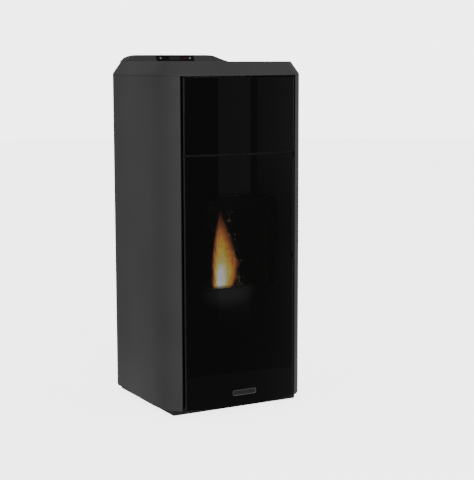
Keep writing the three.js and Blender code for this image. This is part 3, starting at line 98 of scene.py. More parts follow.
camera_data = bpy.data.cameras.new("camera")
camera_data.lens = CAMERA_LENS
camera_data.clip_end = VIEW_END
camera = bpy.data.objects.new("camera", camera_data)
camera.location = CAMERA_PLACE
camera.rotation_euler = (CAMERA_TILT, CAMERA_ROLL, CAMERA_TURN)
scene.collection.objects.link(camera)
scene.camera = camera

# The sky is brighter in front of the stove than behind it
world = bpy.data.worlds.new("studio sky")
world.use_nodes = True
sky = world.node_tree
bearing = add_node(sky, "ShaderNodeSeparateXYZ", links={
    "Vector": add_node(sky, "ShaderNodeTexCoord").outputs["Object"]})
level = add_node(sky, "ShaderNodeMapRange", {
    "From Min": SKY_BEARINGS[0], "From Max": SKY_BEARINGS[1], "To Min": SKY_FRONT, "To Max": SKY_BACK},
    {"Value": bearing.outputs["Y"]})
sky.nodes["Background"].inputs["Color"].default_value = linear(WHITE)
sky.links.new(level.outputs["Result"], sky.nodes["Background"].inputs["Strength"])
scene.world = world


def add_fill():
    """A soft square light in front of the stove, turned towards it, that the camera doesn't see."""
    data = bpy.data.lights.new("front fill", "AREA")
    data.shape = "SQUARE"
    data.size = FILL_SIDE
    data.energy = FILL_WATTS
    light = bpy.data.objects.new("front fill", data)
    light.location = FILL_PLACE
    light.rotation_euler = (Vector(FILL_TARGET) - Vector(FILL_PLACE)).to_track_quat("-Z", "Y").to_euler()
    light.visible_camera = False
    scene.collection.objects.link(light)


def glowing_white(name, strength, shade):
    """Lit opal acrylic: white all over, with a soft shadow only where something stands on it."""
    material = bpy.data.materials.new(name)
    material.use_nodes = True
    shader = material.node_tree.nodes["Principled BSDF"]
    shader.inputs["Base Color"].default_value = linear(shade)
    shader.inputs["Roughness"].default_value = 1.0
    shader.inputs["Specular IOR Level"].default_value = 0.0
    shader.inputs["Emission Color"].default_value = linear(WHITE)
    shader.inputs["Emission Strength"].default_value = strength
    return material


def hide_from(piece, *rays):
    """Hides a piece of the studio from some kinds of ray, and from shadows and clear things."""
    for ray in rays + ("transmission", "shadow"):
        setattr(piece, "visible_" + ray, False)


def for_camera_only(piece, material):
    """Shows a piece of the studio to the camera and to nothing else."""
    piece.data.materials.append(material)
    hide_from(piece, "diffuse", "glossy")


def add_glow(piece, glow, foot=None, fade=None):
    """Makes a piece of the studio a clear film that adds light to what lies behind it in reflections."""
    material = bpy.data.materials.new(piece.name + " film")
    material.use_nodes = True
    tree = material.node_tree
    emission = add_node(tree, "ShaderNodeEmission", {"Color": linear(WHITE), "Strength": glow})
    if foot is not None:
        place = add_node(tree, "ShaderNodeSeparateXYZ", links={
            "Vector": add_node(tree, "ShaderNodeTexCoord").outputs["Object"]})
        rise = add_node(tree, "ShaderNodeMapRange", {
            "From Min": foot, "From Max": foot + fade, "To Max": glow,
            "interpolation_type": "SMOOTHSTEP"}, {"Value": place.outputs["Z"]})
        tree.links.new(rise.outputs["Result"], emission.inputs["Strength"])
    clear = add_node(tree, "ShaderNodeBsdfTransparent")
    both = add_node(tree, "ShaderNodeAddShader", links={
        0: clear.outputs["BSDF"], 1: emission.outputs["Emission"]})
    tree.links.new(both.outputs["Shader"], tree.nodes["Material Output"].inputs["Surface"])
    piece.data.materials.append(material)
    hide_from(piece, "camera", "diffuse")


def add_card(name, from_degrees, to_degrees, glow, foot, fade):
    """A tall card that fades in above its foot, between two bearings to the right of straight ahead."""
    middle = math.radians((from_degrees + to_degrees) / 2)
    width = 2 * CARD_DISTANCE * math.tan(math.radians(to_degrees - from_degrees) / 2)
    bpy.ops.object.select_all(action="DESELECT")
    bpy.ops.mesh.primitive_plane_add(size=1, rotation=(math.pi / 2, 0, middle))
    card = bpy.context.object
    card.name = name
    card.scale = (width, CARD_TOP - foot, 1)
    card.location = (CARD_DISTANCE * math.sin(middle), -CARD_DISTANCE * math.cos(middle),
                     (CARD_TOP + foot) / 2)
    bpy.ops.object.transform_apply(location=True, rotation=True, scale=True)
    add_glow(card, glow, foot, fade)


add_card("first_card", from_degrees=11.8, to_degrees=31.5, glow=0.72, foot=-0.5, fade=0.4)
add_card("second_card", from_degrees=36.0, to_degrees=62.0, glow=0.42, foot=0.1, fade=0.5)
add_fill()
bpy.ops.object.select_all(action="DESELECT")
bpy.ops.mesh.primitive_circle_add(vertices=SHEET_SIDES, radius=SHEET_RADIUS, fill_type="NGON",
                                  location=(0, 0, SHEET_LIFT))
low_sheet = bpy.context.object
low_sheet.name = "low_sheet"
add_glow(low_sheet, SHEET_GLOW)

bpy.ops.object.select_all(action="DESELECT")
bpy.ops.mesh.primitive_grid_add(x_subdivisions=TABLE_STEPS, y_subdivisions=TABLE_STEPS,
                                size=2 * TABLE_HALF)
table = bpy.context.object
table.name = "light_table"
for_camera_only(table, glowing_white("opal table top", TABLE_GLOW, WHITE))
bpy.ops.mesh.primitive_uv_sphere_add(segments=TENT_SEGMENTS, ring_count=TENT_SEGMENTS // 2,
                                     radius=TENT_RADIUS)
tent = bpy.context.object
tent.name = "light_tent"
for_camera_only(tent, glowing_white("white tent cloth", TENT_GLOW, BLACK))


# Plinth: a shallow tray folded from 2 mm sheet, painted dark grey, that the stove stands in.
# Its corners are welded and ground round, and it is open below.
PLINTH_CORNER = 4 * mm
PLINTH_WALL = 2 * mm
PLINTH_PAINT = "#222222"
PLINTH_PEEL = 1.2 * mm
PEEL_DEPTH = 0.2 * mm
TONE_CLOUD = 200 * mm
NOISE_LOW = 0.3
NOISE_HIGH = 0.7
FOLD_ROUND = 0.5 * mm
FACING = 0.9
EXACTLY_FACING = 0.99


def newest(name):
    """The piece that has just been added, under a name that it shares with its mesh."""
    piece = bpy.context.object
    piece.name = name
    piece.data.name = name
    return piece


def add_block(name, low, high):
    """A box primitive between two corners, with its place in its mesh, left active for shaping."""
    bpy.ops.object.select_all(action="DESELECT")
    centre = [(a + b) / 2 for a, b in zip(low, high)]
    span = [b - a for a, b in zip(low, high)]
    bpy.ops.mesh.primitive_cube_add(size=1, location=centre)
    piece = newest(name)
    piece.scale = span
    settle(piece)
    return piece


def take_up(piece):
    """Makes one piece the only selected and active object."""
    bpy.ops.object.select_all(action="DESELECT")
    piece.select_set(True)
    bpy.context.view_layer.objects.active = piece


def pick(piece, faces=None, edges=None):
    """Enters edit mode with the faces or edges selected that a test accepts."""
    take_up(piece)
    bpy.ops.object.mode_set(mode="EDIT")
    bpy.ops.mesh.select_mode(type="FACE" if faces else "EDGE")
    bpy.ops.mesh.select_all(action="DESELECT")
    bpy.ops.object.mode_set(mode="OBJECT")
    mesh = piece.data
    if faces:
        for face in mesh.polygons:
            face.select = bool(faces(face.center, face.normal))
    if edges:
        for edge in mesh.edges:
            first, second = (mesh.vertices[index].co for index in edge.vertices)
            edge.select = bool(edges(first, second))
    bpy.ops.object.mode_set(mode="EDIT")


def leave_edit():
    """Goes back to object mode once the picked faces or edges are shaped."""
    bpy.ops.object.mode_set(mode="OBJECT")


def reshape(piece, operator, faces=None, edges=None, **settings):
    """Runs a mesh operator with its settings on the faces or edges of a piece that a test accepts."""
    pick(piece, faces, edges)
    operator(**settings)
    leave_edit()


def settle(piece):
    """Moves the place, the turn and the scale of a piece into its mesh."""
    take_up(piece)
    bpy.ops.object.transform_apply(location=True, rotation=True, scale=True)


def apply_modifier(piece, kind, **settings):
    """Adds a modifier with its settings and applies it."""
    take_up(piece)
    modifier = piece.modifiers.new(kind.lower(), kind)
    for key, value in settings.items():
        setattr(modifier, key, value)
    bpy.ops.object.modifier_apply(modifier=modifier.name)


def soften(piece, width, segments=2, angle=30, clamp=True):
    """Rounds every edge sharper than an angle, and shades the rest smooth."""
    apply_modifier(piece, "BEVEL", width=width, segments=segments, limit_method="ANGLE",
                   angle_limit=math.radians(angle), use_clamp_overlap=clamp)
    shade(piece)


def shade(piece, angle=35):
    """Shades curved faces smooth, with the large faces kept truly flat."""
    take_up(piece)
    bpy.ops.object.shade_smooth_by_angle(angle=math.radians(angle))
    apply_modifier(piece, "WEIGHTED_NORMAL", keep_sharp=True)


def new_material(name):
    """A material with its node tree, its main shader and the place of each point on the object."""
    material = bpy.data.materials.new(name)
    material.use_nodes = True
    tree = material.node_tree
    place = add_node(tree, "ShaderNodeTexCoord").outputs["Object"]
    return material, tree, tree.nodes["Principled BSDF"], place


def fill_in(tree, shader, values):
    """Sets the sockets of a shader: a number or a colour goes on the socket, an output is linked to it."""
    for socket, value in values.items():
        if isinstance(value, bpy.types.NodeSocket):
            tree.links.new(value, shader.inputs[socket])
        else:
            shader.inputs[socket].default_value = value


def noise(tree, place, scale, detail):
    """A soft noise with so many patches in a metre."""
    texture = add_node(tree, "ShaderNodeTexNoise", {"Scale": scale, "Detail": detail}, {"Vector": place})
    return texture.outputs["Fac"]


def calculate(tree, operation, *terms):
    """The result of one step of arithmetic on numbers and outputs of other nodes."""
    node = add_node(tree, "ShaderNodeMath", {"operation": operation})
    fill_in(tree, node, dict(enumerate(terms)))
    return node.outputs[0]


def relief(tree, height, strength, depth):
    """The normals of a surface with a fine relief."""
    bump = add_node(tree, "ShaderNodeBump", {"Strength": strength, "Distance": depth}, {"Height": height})
    return bump.outputs["Normal"]


def ranged(tree, value, **limits):
    """A value between 0 and 1, or between other limits, carried over to another range."""
    sockets = {"from_min": "From Min", "from_max": "From Max", "to_min": "To Min", "to_max": "To Max"}
    settings = {sockets.get(key, key): limit for key, limit in limits.items()}
    return add_node(tree, "ShaderNodeMapRange", settings, {"Value": value}).outputs["Result"]


def tone_ramp(tree, value, *stops):
    """The colour that a value picks between pairs of a position and a colour, the positions rising."""
    tone = add_node(tree, "ShaderNodeValToRGB", links={"Fac": value})
    ramp = tone.color_ramp
    ramp.elements[0].position, ramp.elements[0].color = stops[0]
    ramp.elements[1].position, ramp.elements[1].color = stops[-1]
    for position, colour in stops[1:-1]:
        ramp.elements.new(position).color = colour
    return tone.outputs["Color"]


def shifted(colour, share):
    """A colour made darker or lighter by a share of its light."""
    return [channel * share for channel in linear(colour)[:3]] + [1.0]


def gloss_range(tree, value, roughness, spread):
    """Lets the roughness wander with a noise, by a spread to each side of its middle value."""
    return ranged(tree, value, from_min=NOISE_LOW, from_max=NOISE_HIGH,
                  to_min=roughness - spread, to_max=roughness + spread)


def powder_coat(name, colour, grain, roughness, bump, shine):
    """Powder-coated steel: a fine orange-peel skin, slightly uneven in tone and in gloss."""
    material, tree, shader, place = new_material(name)
    peel = noise(tree, place, 1 / grain, 2.0)
    cloud = noise(tree, place, 1 / TONE_CLOUD, 1.0)
    fill_in(tree, shader, {
        "Base Color": tone_ramp(tree, cloud, (NOISE_LOW, shifted(colour, 0.93)),
                                (NOISE_HIGH, shifted(colour, 1.07))),
        "Roughness": gloss_range(tree, peel, roughness, 0.04),
        "Normal": relief(tree, peel, bump, PEEL_DEPTH),
        "Specular IOR Level": shine})
    return material


def finish_piece(piece, material, body, slot, *replaced):
    """Gives a piece its material and its body, and hides the nodes that it stands for. The slot is not used.
    """
    piece.data.materials.clear()
    piece.data.materials.append(material)
    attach(piece, body)
    if replaced:
        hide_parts(*replaced)


plinth_paint = powder_coat("dark grey powder coat", PLINTH_PAINT, PLINTH_PEEL, 0.55, 0.25, 0.1)
plinth_low, plinth_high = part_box("plinth")
plinth = add_block("plinth_tray", plinth_low, plinth_high)
reshape(plinth, bpy.ops.mesh.bevel, edges=lambda a, b: abs(a.z - b.z) > PLINTH_WALL,
        offset=PLINTH_CORNER, segments=4)
reshape(plinth, bpy.ops.mesh.delete, faces=lambda centre, normal: normal.z < -FACING, type="FACE")
apply_modifier(plinth, "SOLIDIFY", thickness=PLINTH_WALL, offset=-1, use_even_offset=True)
soften(plinth, FOLD_ROUND)
finish_piece(plinth, plinth_paint, "stove", "plinth_paint", "plinth")


# Levelling feet: moulded black polyamide pads on threaded studs, screwed up into the plinth.
# The pads are turned by hand to bring the stove level.
FOOT_BLACK = "#1b1b1c"
FOOT_GRAIN = 0.8 * mm
FOOT_ROUND = 0.8 * mm
MOULD_DEPTH = 0.1 * mm
MERGE_GAP = 0.01 * mm


def moulded_plastic(name, colour, grain, roughness, shine=0.4):
    """Moulded plastic: a fine spark-eroded texture that breaks up the reflection."""
    material, tree, shader, place = new_material(name)
    texture = noise(tree, place, 1 / grain, 3.0)
    fill_in(tree, shader, {
        "Base Color": linear(colour),
        "Roughness": gloss_range(tree, texture, roughness, 0.06),
        "Normal": relief(tree, texture, 0.3, MOULD_DEPTH),
        "Specular IOR Level": shine})
    return material


def finished_copy(node, name, bevel, segments=2):
    """A copy of a CAD node with its loose triangles joined and its edges rounded."""
    bpy.ops.object.select_all(action="DESELECT")
    source = nodes[node]
    piece = bpy.data.objects.new(name, source.data.copy())
    piece.data.name = name
    scene.collection.objects.link(piece)
    take_up(piece)
    bpy.ops.object.mode_set(mode="EDIT")
    bpy.ops.mesh.select_all(action="SELECT")
    bpy.ops.mesh.remove_doubles(threshold=MERGE_GAP)
    bpy.ops.mesh.dissolve_limited(angle_limit=math.radians(1))
    bpy.ops.object.mode_set(mode="OBJECT")
    soften(piece, bevel, segments)
    return piece


def second_finish(piece, material, chosen):
    """Gives the chosen faces of a piece, listed as true or false for each, a second material."""
    piece.data.materials.append(material)
    for face, inside in zip(piece.data.polygons, chosen):
        face.material_index = 1 if inside else 0


def refine(node, name, bevel, material, body, slot):
    """Stands a copy of a CAD node with rounded edges and its own finish in the node's place."""
    finish_piece(finished_copy(node, name, bevel), material, body, slot, node)


black_polyamide = moulded_plastic("moulded black polyamide", FOOT_BLACK, FOOT_GRAIN, 0.55)
for corner in ("front_left", "front_right", "rear_left", "rear_right"):
    refine("foot_" + corner, "levelling_foot_" + corner, FOOT_ROUND,
           black_polyamide, "stove", "black_plastic")


# Side panels: one bent steel sheet each, from the rear seam round the corner, along the side in a
# gentle S and round the front corner, powder-coated satin anthracite. They hook over the base plate.
REAR_CORNER = 72 * mm
REAR_HALF = 223 * mm
WIDEST_SETBACK = 112 * mm
PANEL_TIP_GAP = 6.8 * mm
FRONT_ENTRY_SHARE = 0.667
FRONT_EXIT_SHARES = (0.644, 0.806)
PANEL_SHEET = 2 * mm
PANEL_TIP_SETBACK = 4 * mm
CURVE_STEPS = 28
CASING_PAINT = "#363636"
CASING_PEEL = 1.0 * mm
START_SIDE = 1 * mm

panel_low, panel_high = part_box("right_side_panel")
strip_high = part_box("door_strip_right")[1]
rear_y = panel_high.y
front_y = panel_low.y - PANEL_TIP_SETBACK
tip_x = strip_high.x + PANEL_TIP_GAP


def side_outline():
    """Points of the right-hand side from the rear seam to the front tip."""
    widest_x = panel_high.x
    widest_y = front_y + WIDEST_SETBACK
    corner_y = rear_y - REAR_CORNER
    middle_y = (corner_y + widest_y) / 2
    run_x = widest_x - tip_x
    run_y = widest_y - panel_low.y
    points = [Vector((panel_low.x, rear_y, 0))]
    for step in range(CURVE_STEPS + 1):
        turn = math.pi / 2 * (1 - step / CURVE_STEPS)
        points.append(Vector((REAR_HALF - REAR_CORNER + REAR_CORNER * math.cos(turn),
                              corner_y + REAR_CORNER * math.sin(turn), 0)))
    side = interpolate_bezier(
        Vector((REAR_HALF, corner_y, 0)), Vector((REAR_HALF, middle_y, 0)),
        Vector((widest_x, middle_y, 0)), Vector((widest_x, widest_y, 0)), CURVE_STEPS)
    front = interpolate_bezier(
        Vector((widest_x, widest_y, 0)), Vector((widest_x, widest_y - run_y * FRONT_ENTRY_SHARE, 0)),
        Vector((tip_x + run_x * FRONT_EXIT_SHARES[0], widest_y - run_y * FRONT_EXIT_SHARES[1], 0)),
        Vector((tip_x, panel_low.y, 0)), CURVE_STEPS)
    return points + side[1:] + front[1:]


def trace(name, points, closed=False):
    """Draws a line by extruding one vertex from point to point, and fills it if it is closed."""
    bpy.ops.object.select_all(action="DESELECT")
    bpy.ops.mesh.primitive_plane_add(size=START_SIDE, location=points[0])
    piece = newest(name)
    settle(piece)
    bpy.ops.object.mode_set(mode="EDIT")
    bpy.ops.mesh.select_mode(type="VERT")
    bpy.ops.mesh.select_all(action="SELECT")
    bpy.ops.mesh.merge(type="CENTER")
    for start, end in zip(points, points[1:]):
        bpy.ops.mesh.extrude_vertices_move(TRANSFORM_OT_translate={"value": end - start})
    if closed:
        bpy.ops.mesh.select_all(action="SELECT")
        bpy.ops.mesh.edge_face_add()
    bpy.ops.object.mode_set(mode="OBJECT")
    return piece


def face_outwards():
    """Turns every face of the piece that is being edited the right way out, and leaves edit mode."""
    bpy.ops.mesh.select_all(action="SELECT")
    bpy.ops.mesh.normals_make_consistent(inside=False)
    bpy.ops.object.mode_set(mode="OBJECT")


def raise_up(piece, height):
    """Extrudes all that a traced line holds upwards by a height, facing outwards."""
    take_up(piece)
    bpy.ops.object.mode_set(mode="EDIT")
    bpy.ops.mesh.select_all(action="SELECT")
    bpy.ops.mesh.extrude_region_move(TRANSFORM_OT_translate={"value": (0, 0, height)})
    face_outwards()


def mirrored_copy(piece, name):
    """The same piece for the other side, with its own mesh turned the right way out."""
    copy = bpy.data.objects.new(name, piece.data.copy())
    copy.data.name = name
    scene.collection.objects.link(copy)
    copy.scale.x = -1
    settle(copy)
    bpy.ops.object.mode_set(mode="EDIT")
    face_outwards()
    shade(copy)
    return copy


casing_paint = powder_coat("satin anthracite powder coat", CASING_PAINT, CASING_PEEL, 0.5, 0.3, 0.15)
lift = Vector((0, 0, panel_low.z))
right_panel = trace("right_side_sheet", [point + lift for point in side_outline()])
raise_up(right_panel, panel_high.z - panel_low.z)
pick(right_panel, faces=lambda centre, normal: True)
face_outwards()
widest = max(right_panel.data.polygons, key=lambda face: face.center.x)
if widest.normal.x < 0:
    reshape(right_panel, bpy.ops.mesh.flip_normals, faces=lambda centre, normal: True)
apply_modifier(right_panel, "SOLIDIFY", thickness=PANEL_SHEET, offset=-1, use_even_offset=True)
soften(right_panel, FOLD_ROUND)
left_panel = mirrored_copy(right_panel, "left_side_sheet")
finish_piece(right_panel, casing_paint, "stove", "casing_paint", "right_side_panel")
finish_piece(left_panel, casing_paint, "stove", "casing_paint", "left_side_panel")


# Bowed glass: black ceramic glass bent to the arc of the front, its edges ground and polished.
# The upper pane is printed black all over its back, the lower one round an arched clear window.
GLASS_SHEET = 4 * mm
GLASS_BOW = 24 * mm
BOW_STEPS = 48
GLASS_BLACK = "#020202"
GLASS_IOR = 1.15
GLASS_SHINE = 0.5
CLEAR_SHARE = 0.45
SMOKE_VEIL = "#131313"
# Painted light: a soft oval of lighter grey, low in the clear window of the door pane.
LIGHT_PATCH_PLACE = (-48 * mm, 0.0, 354 * mm)
LIGHT_PATCH_RADIUS = 110 * mm
LIGHT_PATCH_FLATNESS = 1.8
LIGHT_PATCH_GREY = "#161616"
GLASS_EDGE = "#3c3f3d"
GLASS_ROUND = 0.6 * mm
WHEEL_MARKS = 900.0
GROUND_GLOSS = (0.2, 0.5)
EDGE_TILTS = (0.4, 0.6)
CLEAR_HALF = 116 * mm
CLEAR_LOW = 360 * mm
CLEAR_SPRING = 618 * mm
CLEAR_RISE = 24 * mm
PRINT_BLUR = 18 * mm
LOW_BLUR = 16 * mm

glass_low, glass_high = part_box("door_glass")
upper_low, upper_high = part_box("upper_glass")
glass_half = glass_high.x
bow_radius = (glass_half ** 2 + GLASS_BOW ** 2) / (2 * GLASS_BOW)
bow_centre_y = glass_low.y + bow_radius


def bow_points(half, depth, height, steps=BOW_STEPS):
    """Points across the front on an arc that lies a depth behind the face of the glass."""
    radius = bow_radius - depth
    reach = math.asin(half / radius)
    turns = [reach * (2 * step / steps - 1) for step in range(steps + 1)]
    return [Vector((radius * math.sin(turn), bow_centre_y - radius * math.cos(turn), height))
            for turn in turns]


def bowed_pane(name, half, front, back, low, high):
    """A bowed slab between two depths and two heights."""
    outline = bow_points(half, front, low) + bow_points(half, back, low)[::-1]
    pane = trace(name, outline, closed=True)
    raise_up(pane, high - low)
    return pane


def ceramic_glass(name, window):
    """Dark glass-ceramic: a hard, almost mirror-flat face, clear and smoke-veiled where it isn't printed,
    with a painted patch of light, a soft oval of lighter grey, low in the window.
    """
    material, tree, shader, place = new_material(name)
    fill_in(tree, shader, {"Base Color": linear(GLASS_BLACK), "Roughness": 0.02, "IOR": GLASS_IOR})
    if not window:
        return material
    axes = add_node(tree, "ShaderNodeSeparateXYZ", links={"Vector": place})
    side = calculate(tree, "ABSOLUTE", axes.outputs["X"])
    share = calculate(tree, "DIVIDE", side, CLEAR_HALF)
    drop = calculate(tree, "MULTIPLY", calculate(tree, "POWER", share, 2.0), CLEAR_RISE)
    arch = calculate(tree, "ADD", axes.outputs["Z"], drop)
    crown = CLEAR_SPRING + CLEAR_RISE
    top = ranged(tree, arch, from_min=crown - PRINT_BLUR, from_max=crown)
    sides = ranged(tree, side, from_min=CLEAR_HALF - PRINT_BLUR, from_max=CLEAR_HALF)
    bottom = ranged(tree, axes.outputs["Z"], from_min=CLEAR_LOW + LOW_BLUR, from_max=CLEAR_LOW)
    printed = calculate(tree, "MAXIMUM", calculate(tree, "MAXIMUM", top, sides), bottom)
    veil = tone_ramp(tree, printed, (0.0, linear(SMOKE_VEIL)), (1.0, linear(GLASS_BLACK)))
    # The lighter grey oval mixed into the veil is painted light: a painted patch of light on the glass.
    offset = add_node(tree, "ShaderNodeVectorMath", {"operation": "SUBTRACT", 1: LIGHT_PATCH_PLACE}, {0: place})
    flat = add_node(tree, "ShaderNodeVectorMath", {"operation": "MULTIPLY", 1: (1, 0, LIGHT_PATCH_FLATNESS)},
                    {0: offset.outputs[0]})
    reach = add_node(tree, "ShaderNodeVectorMath", {"operation": "LENGTH"}, {0: flat.outputs[0]})
    light_patch = ranged(tree, reach.outputs["Value"], from_min=LIGHT_PATCH_RADIUS, from_max=0.0,
                  interpolation_type="SMOOTHERSTEP")
    film = add_node(tree, "ShaderNodeMix", {"data_type": "RGBA", 7: linear(LIGHT_PATCH_GREY)}, {0: light_patch, 6: veil})
    fill_in(tree, shader, {
        "Base Color": film.outputs[2],
        "Alpha": ranged(tree, printed, to_min=1 - CLEAR_SHARE),
        "Specular IOR Level": ranged(tree, printed, to_max=GLASS_SHINE)})
    return material


def ground_edge():
    """Ground glass edge: greenish grey and matt, with the fine marks of the wheel."""
    material, tree, shader, place = new_material("ground glass edge")
    marks = noise(tree, place, WHEEL_MARKS, 1.0)
    fill_in(tree, shader, {
        "Base Color": linear(GLASS_EDGE),
        "Roughness": ranged(tree, marks, to_min=GROUND_GLOSS[0], to_max=GROUND_GLOSS[1])})
    return material


def edge_glass(piece, edge):
    """Gives the narrow faces all round a pane the ground finish."""
    second_finish(piece, edge, [abs(face.normal.z) > EDGE_TILTS[0] or abs(face.normal.x) > EDGE_TILTS[1]
                                for face in piece.data.polygons])


glass_edge = ground_edge()
upper_pane = bowed_pane("upper_pane", glass_half, 0, GLASS_SHEET, upper_low.z, upper_high.z)
soften(upper_pane, GLASS_ROUND)
finish_piece(upper_pane, ceramic_glass("black glass-ceramic", False), "stove", "black_glass", "upper_glass")
edge_glass(upper_pane, glass_edge)
door_pane = bowed_pane("door_pane", glass_half, 0, GLASS_SHEET, glass_low.z, glass_high.z)
soften(door_pane, GLASS_ROUND)
finish_piece(door_pane, ceramic_glass("printed glass-ceramic", True),
             "outer_door", "smoked_glass", "door_glass")
edge_glass(door_pane, glass_edge)


# Side strips: folded stainless trims along the edges of both panes, brushed lengthwise. Their narrow
# front edge shows as a light line. A thin silicone gasket closes the joint between the panes.
STRIP_METAL = "#272726"
STRIP_SCRATCH = 0.5 * mm
STRIP_SCRATCH_LENGTH = 60 * mm
STRIP_ROUND = 0.6 * mm
SCRATCH_DEPTH = 0.1 * mm
JOINT_GREY = "#121212"
JOINT_GRAIN = 1.0 * mm
JOINT_GAP = 0.8 * mm


def brushed_metal(name, colour, across, along, roughness):
    """Brushed metal: long fine scratches that stretch the highlights across them."""
    material, tree, shader, place = new_material(name)
    stretch = add_node(tree, "ShaderNodeMapping", {"Scale": (1 / across, 1 / across, 1 / along)},
                       {"Vector": place})
    scratches = noise(tree, stretch.outputs["Vector"], 1.0, 3.0)
    fill_in(tree, shader, {
        "Base Color": linear(colour),
        "Metallic": 1.0,
        "Roughness": gloss_range(tree, scratches, roughness, 0.08),
        "Normal": relief(tree, scratches, 0.15, SCRATCH_DEPTH)})
    return material


strip_metal = brushed_metal("brushed dark stainless", STRIP_METAL, STRIP_SCRATCH, STRIP_SCRATCH_LENGTH, 0.35)
for node, body in (("upper_strip_left", "stove"), ("upper_strip_right", "stove"),
                   ("door_strip_left", "outer_door"), ("door_strip_right", "outer_door")):
    strip = add_block(node + "_trim", *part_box(node))
    soften(strip, STRIP_ROUND)
    finish_piece(strip, strip_metal, body, "strip_metal", node)
joint = bowed_pane("joint_gasket", glass_half - JOINT_GAP, JOINT_GAP, GLASS_SHEET,
                   glass_high.z + JOINT_GAP, upper_low.z)
soften(joint, JOINT_GAP / 2)
finish_piece(joint, moulded_plastic("grey silicone", JOINT_GREY, JOINT_GRAIN, 0.7, 0.08),
             "stove", "black_plastic")


# Top cover: pressed and welded 2 mm sheet with a chamfer all round, a flat deck with warm-air slots,
# a finger recess and the hopper's lid, and a raised hump at the rear. Painted like the panels.
COVER_LIP = 4 * mm
COVER_CHAMFER = 35 * mm
COVER_INSET = 24.5 * mm
COVER_SHEET = 2 * mm
COVER_PROUD = 1 * mm
COVER_ROUND = 1.8 * mm
HUMP_RISE = 20 * mm
HUMP_FOOT = 30 * mm
HUMP_CREST = 19.8 * mm
HUMP_REAR_HALF = 177.5 * mm
HUMP_FRONT_HALF = 168 * mm
HUMP_STEPS = 14
HUMP_WALL = 4 * mm
HUMP_ROUND = 1.6 * mm
CREST_SPREAD = 4.8 * mm
REAR_SHARES = ((0.978, 0.0), (0.94, 0.55), (0.86, 1.0), (0.68, 1.0))
FRONT_SHARES = ((1.1, 0.0), (1.0, 0.12), (0.82, 1.0), (0.6, 1.0))
SLOT_COUNT = 15
SLOT_WIDTH = 7 * mm
SLOT_PITCH = 14 * mm
SLOT_SETBACK = 52 * mm
SLOT_LENGTH = 66 * mm
SLOT_ROUND_SHARE = 0.49
LID_GAP = 1.5 * mm
LID_GRIP_REACH = 12 * mm
HINGE_RELIEF = 5.2 * mm
RECESS_HALF = 40 * mm
RECESS_LENGTH = 20 * mm
RECESS_DEPTH = 15 * mm
CUT_MARGIN = 6 * mm
EDGE_BREAK = 0.4 * mm

cover_low, cover_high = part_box("top_cover")
deck_z = cover_high.z - HUMP_RISE
lid_low, lid_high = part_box("hopper_lid")
lid_front_y = lid_low.y + LID_GRIP_REACH
pin_low, pin_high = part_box("lid_hinge_pin")
hinge_y = (pin_low.y + pin_high.y) / 2


def cover_outline(height):
    """The whole plan of the cover, anticlockwise from the middle of the rear."""
    half = side_outline()
    front = [point for point in bow_points(strip_high.x, -COVER_PROUD, 0) if point.x > 0][::-1]
    front.append(Vector((0, bow_centre_y - bow_radius - COVER_PROUD, 0)))
    right = [Vector((0, rear_y, 0))] + half + front
    left = [Vector((-point.x, point.y, 0)) for point in right[1:-1]][::-1]
    return [point + Vector((0, 0, height)) for point in right + left]


def chamfered_form(name):
    """The cover as a solid block: a low upright lip, the chamfer and the flat deck."""
    form = trace(name, cover_outline(cover_low.z), closed=True)
    raise_up(form, COVER_LIP)
    reshape(form, bpy.ops.mesh.inset, faces=lambda centre, normal: normal.z > FACING,
            thickness=COVER_INSET, depth=COVER_CHAMFER, use_even_offset=True)
    return form


def shoulder(shares, half_width, face_y, lean):
    """The outline of one end of the hump: up from inside the cover, over the crest and down again."""
    curve = interpolate_bezier(*[Vector((across, up, 0)) for across, up in shares], HUMP_STEPS)
    below = (cover_low.z + COVER_LIP - deck_z) / HUMP_RISE
    right = [Vector((half_width * share.x, face_y + lean * share.y, deck_z + HUMP_RISE * share.y))
             for share in curve]
    right.insert(0, Vector((right[0].x, face_y + lean * below, cover_low.z + COVER_LIP)))
    left = [Vector((-point.x, point.y, point.z)) for point in right]
    return left + right[::-1]


def hump_form(name):
    """The solid of the hump: its upright rear outline bridged to its sloping front outline."""
    rear = trace(name, shoulder(REAR_SHARES, HUMP_REAR_HALF, rear_y, 0), closed=True)
    front = trace(name + "_front", shoulder(FRONT_SHARES, HUMP_FRONT_HALF, rear_y - HUMP_FOOT,
                                            HUMP_FOOT - HUMP_CREST), closed=True)
    take_up(rear)
    front.select_set(True)
    bpy.ops.object.join()
    bpy.ops.object.mode_set(mode="EDIT")
    bpy.ops.mesh.select_mode(type="EDGE")
    bpy.ops.mesh.select_all(action="SELECT")
    bpy.ops.mesh.delete(type="ONLY_FACE")
    bpy.ops.mesh.select_all(action="SELECT")
    bpy.ops.mesh.bridge_edge_loops()
    bpy.ops.mesh.select_all(action="SELECT")
    bpy.ops.mesh.fill_holes(sides=0)
    face_outwards()
    return rear


def shrunk(piece, wall):
    """Moves every face of a form inwards by a wall, and its bottom well below the form's own."""
    reshape(piece, bpy.ops.transform.shrink_fatten, faces=lambda centre, normal: True,
            value=-wall, use_even_offset=True)
    reshape(piece, bpy.ops.transform.translate, faces=lambda centre, normal: normal.z < -FACING,
            value=(0, 0, -wall - CUT_MARGIN))
    return piece


def repeat(piece, count, step):
    """Repeats a piece in a row, with the same step from each to the next."""
    apply_modifier(piece, "ARRAY", count=count, use_relative_offset=False, use_constant_offset=True,
                   constant_offset_displace=step)


def combine(piece, tool, operation):
    """Cuts a tool's volume out of a piece, welds it on or keeps what they share; the tool goes."""
    apply_modifier(piece, "BOOLEAN", operation=operation, object=tool, solver="EXACT")
    bpy.data.objects.remove(tool)


def break_edges(piece, width=EDGE_BREAK, angle=40):
    """Takes the sharpness off every edge that cutting has left."""
    soften(piece, width, 2, angle, clamp=False)


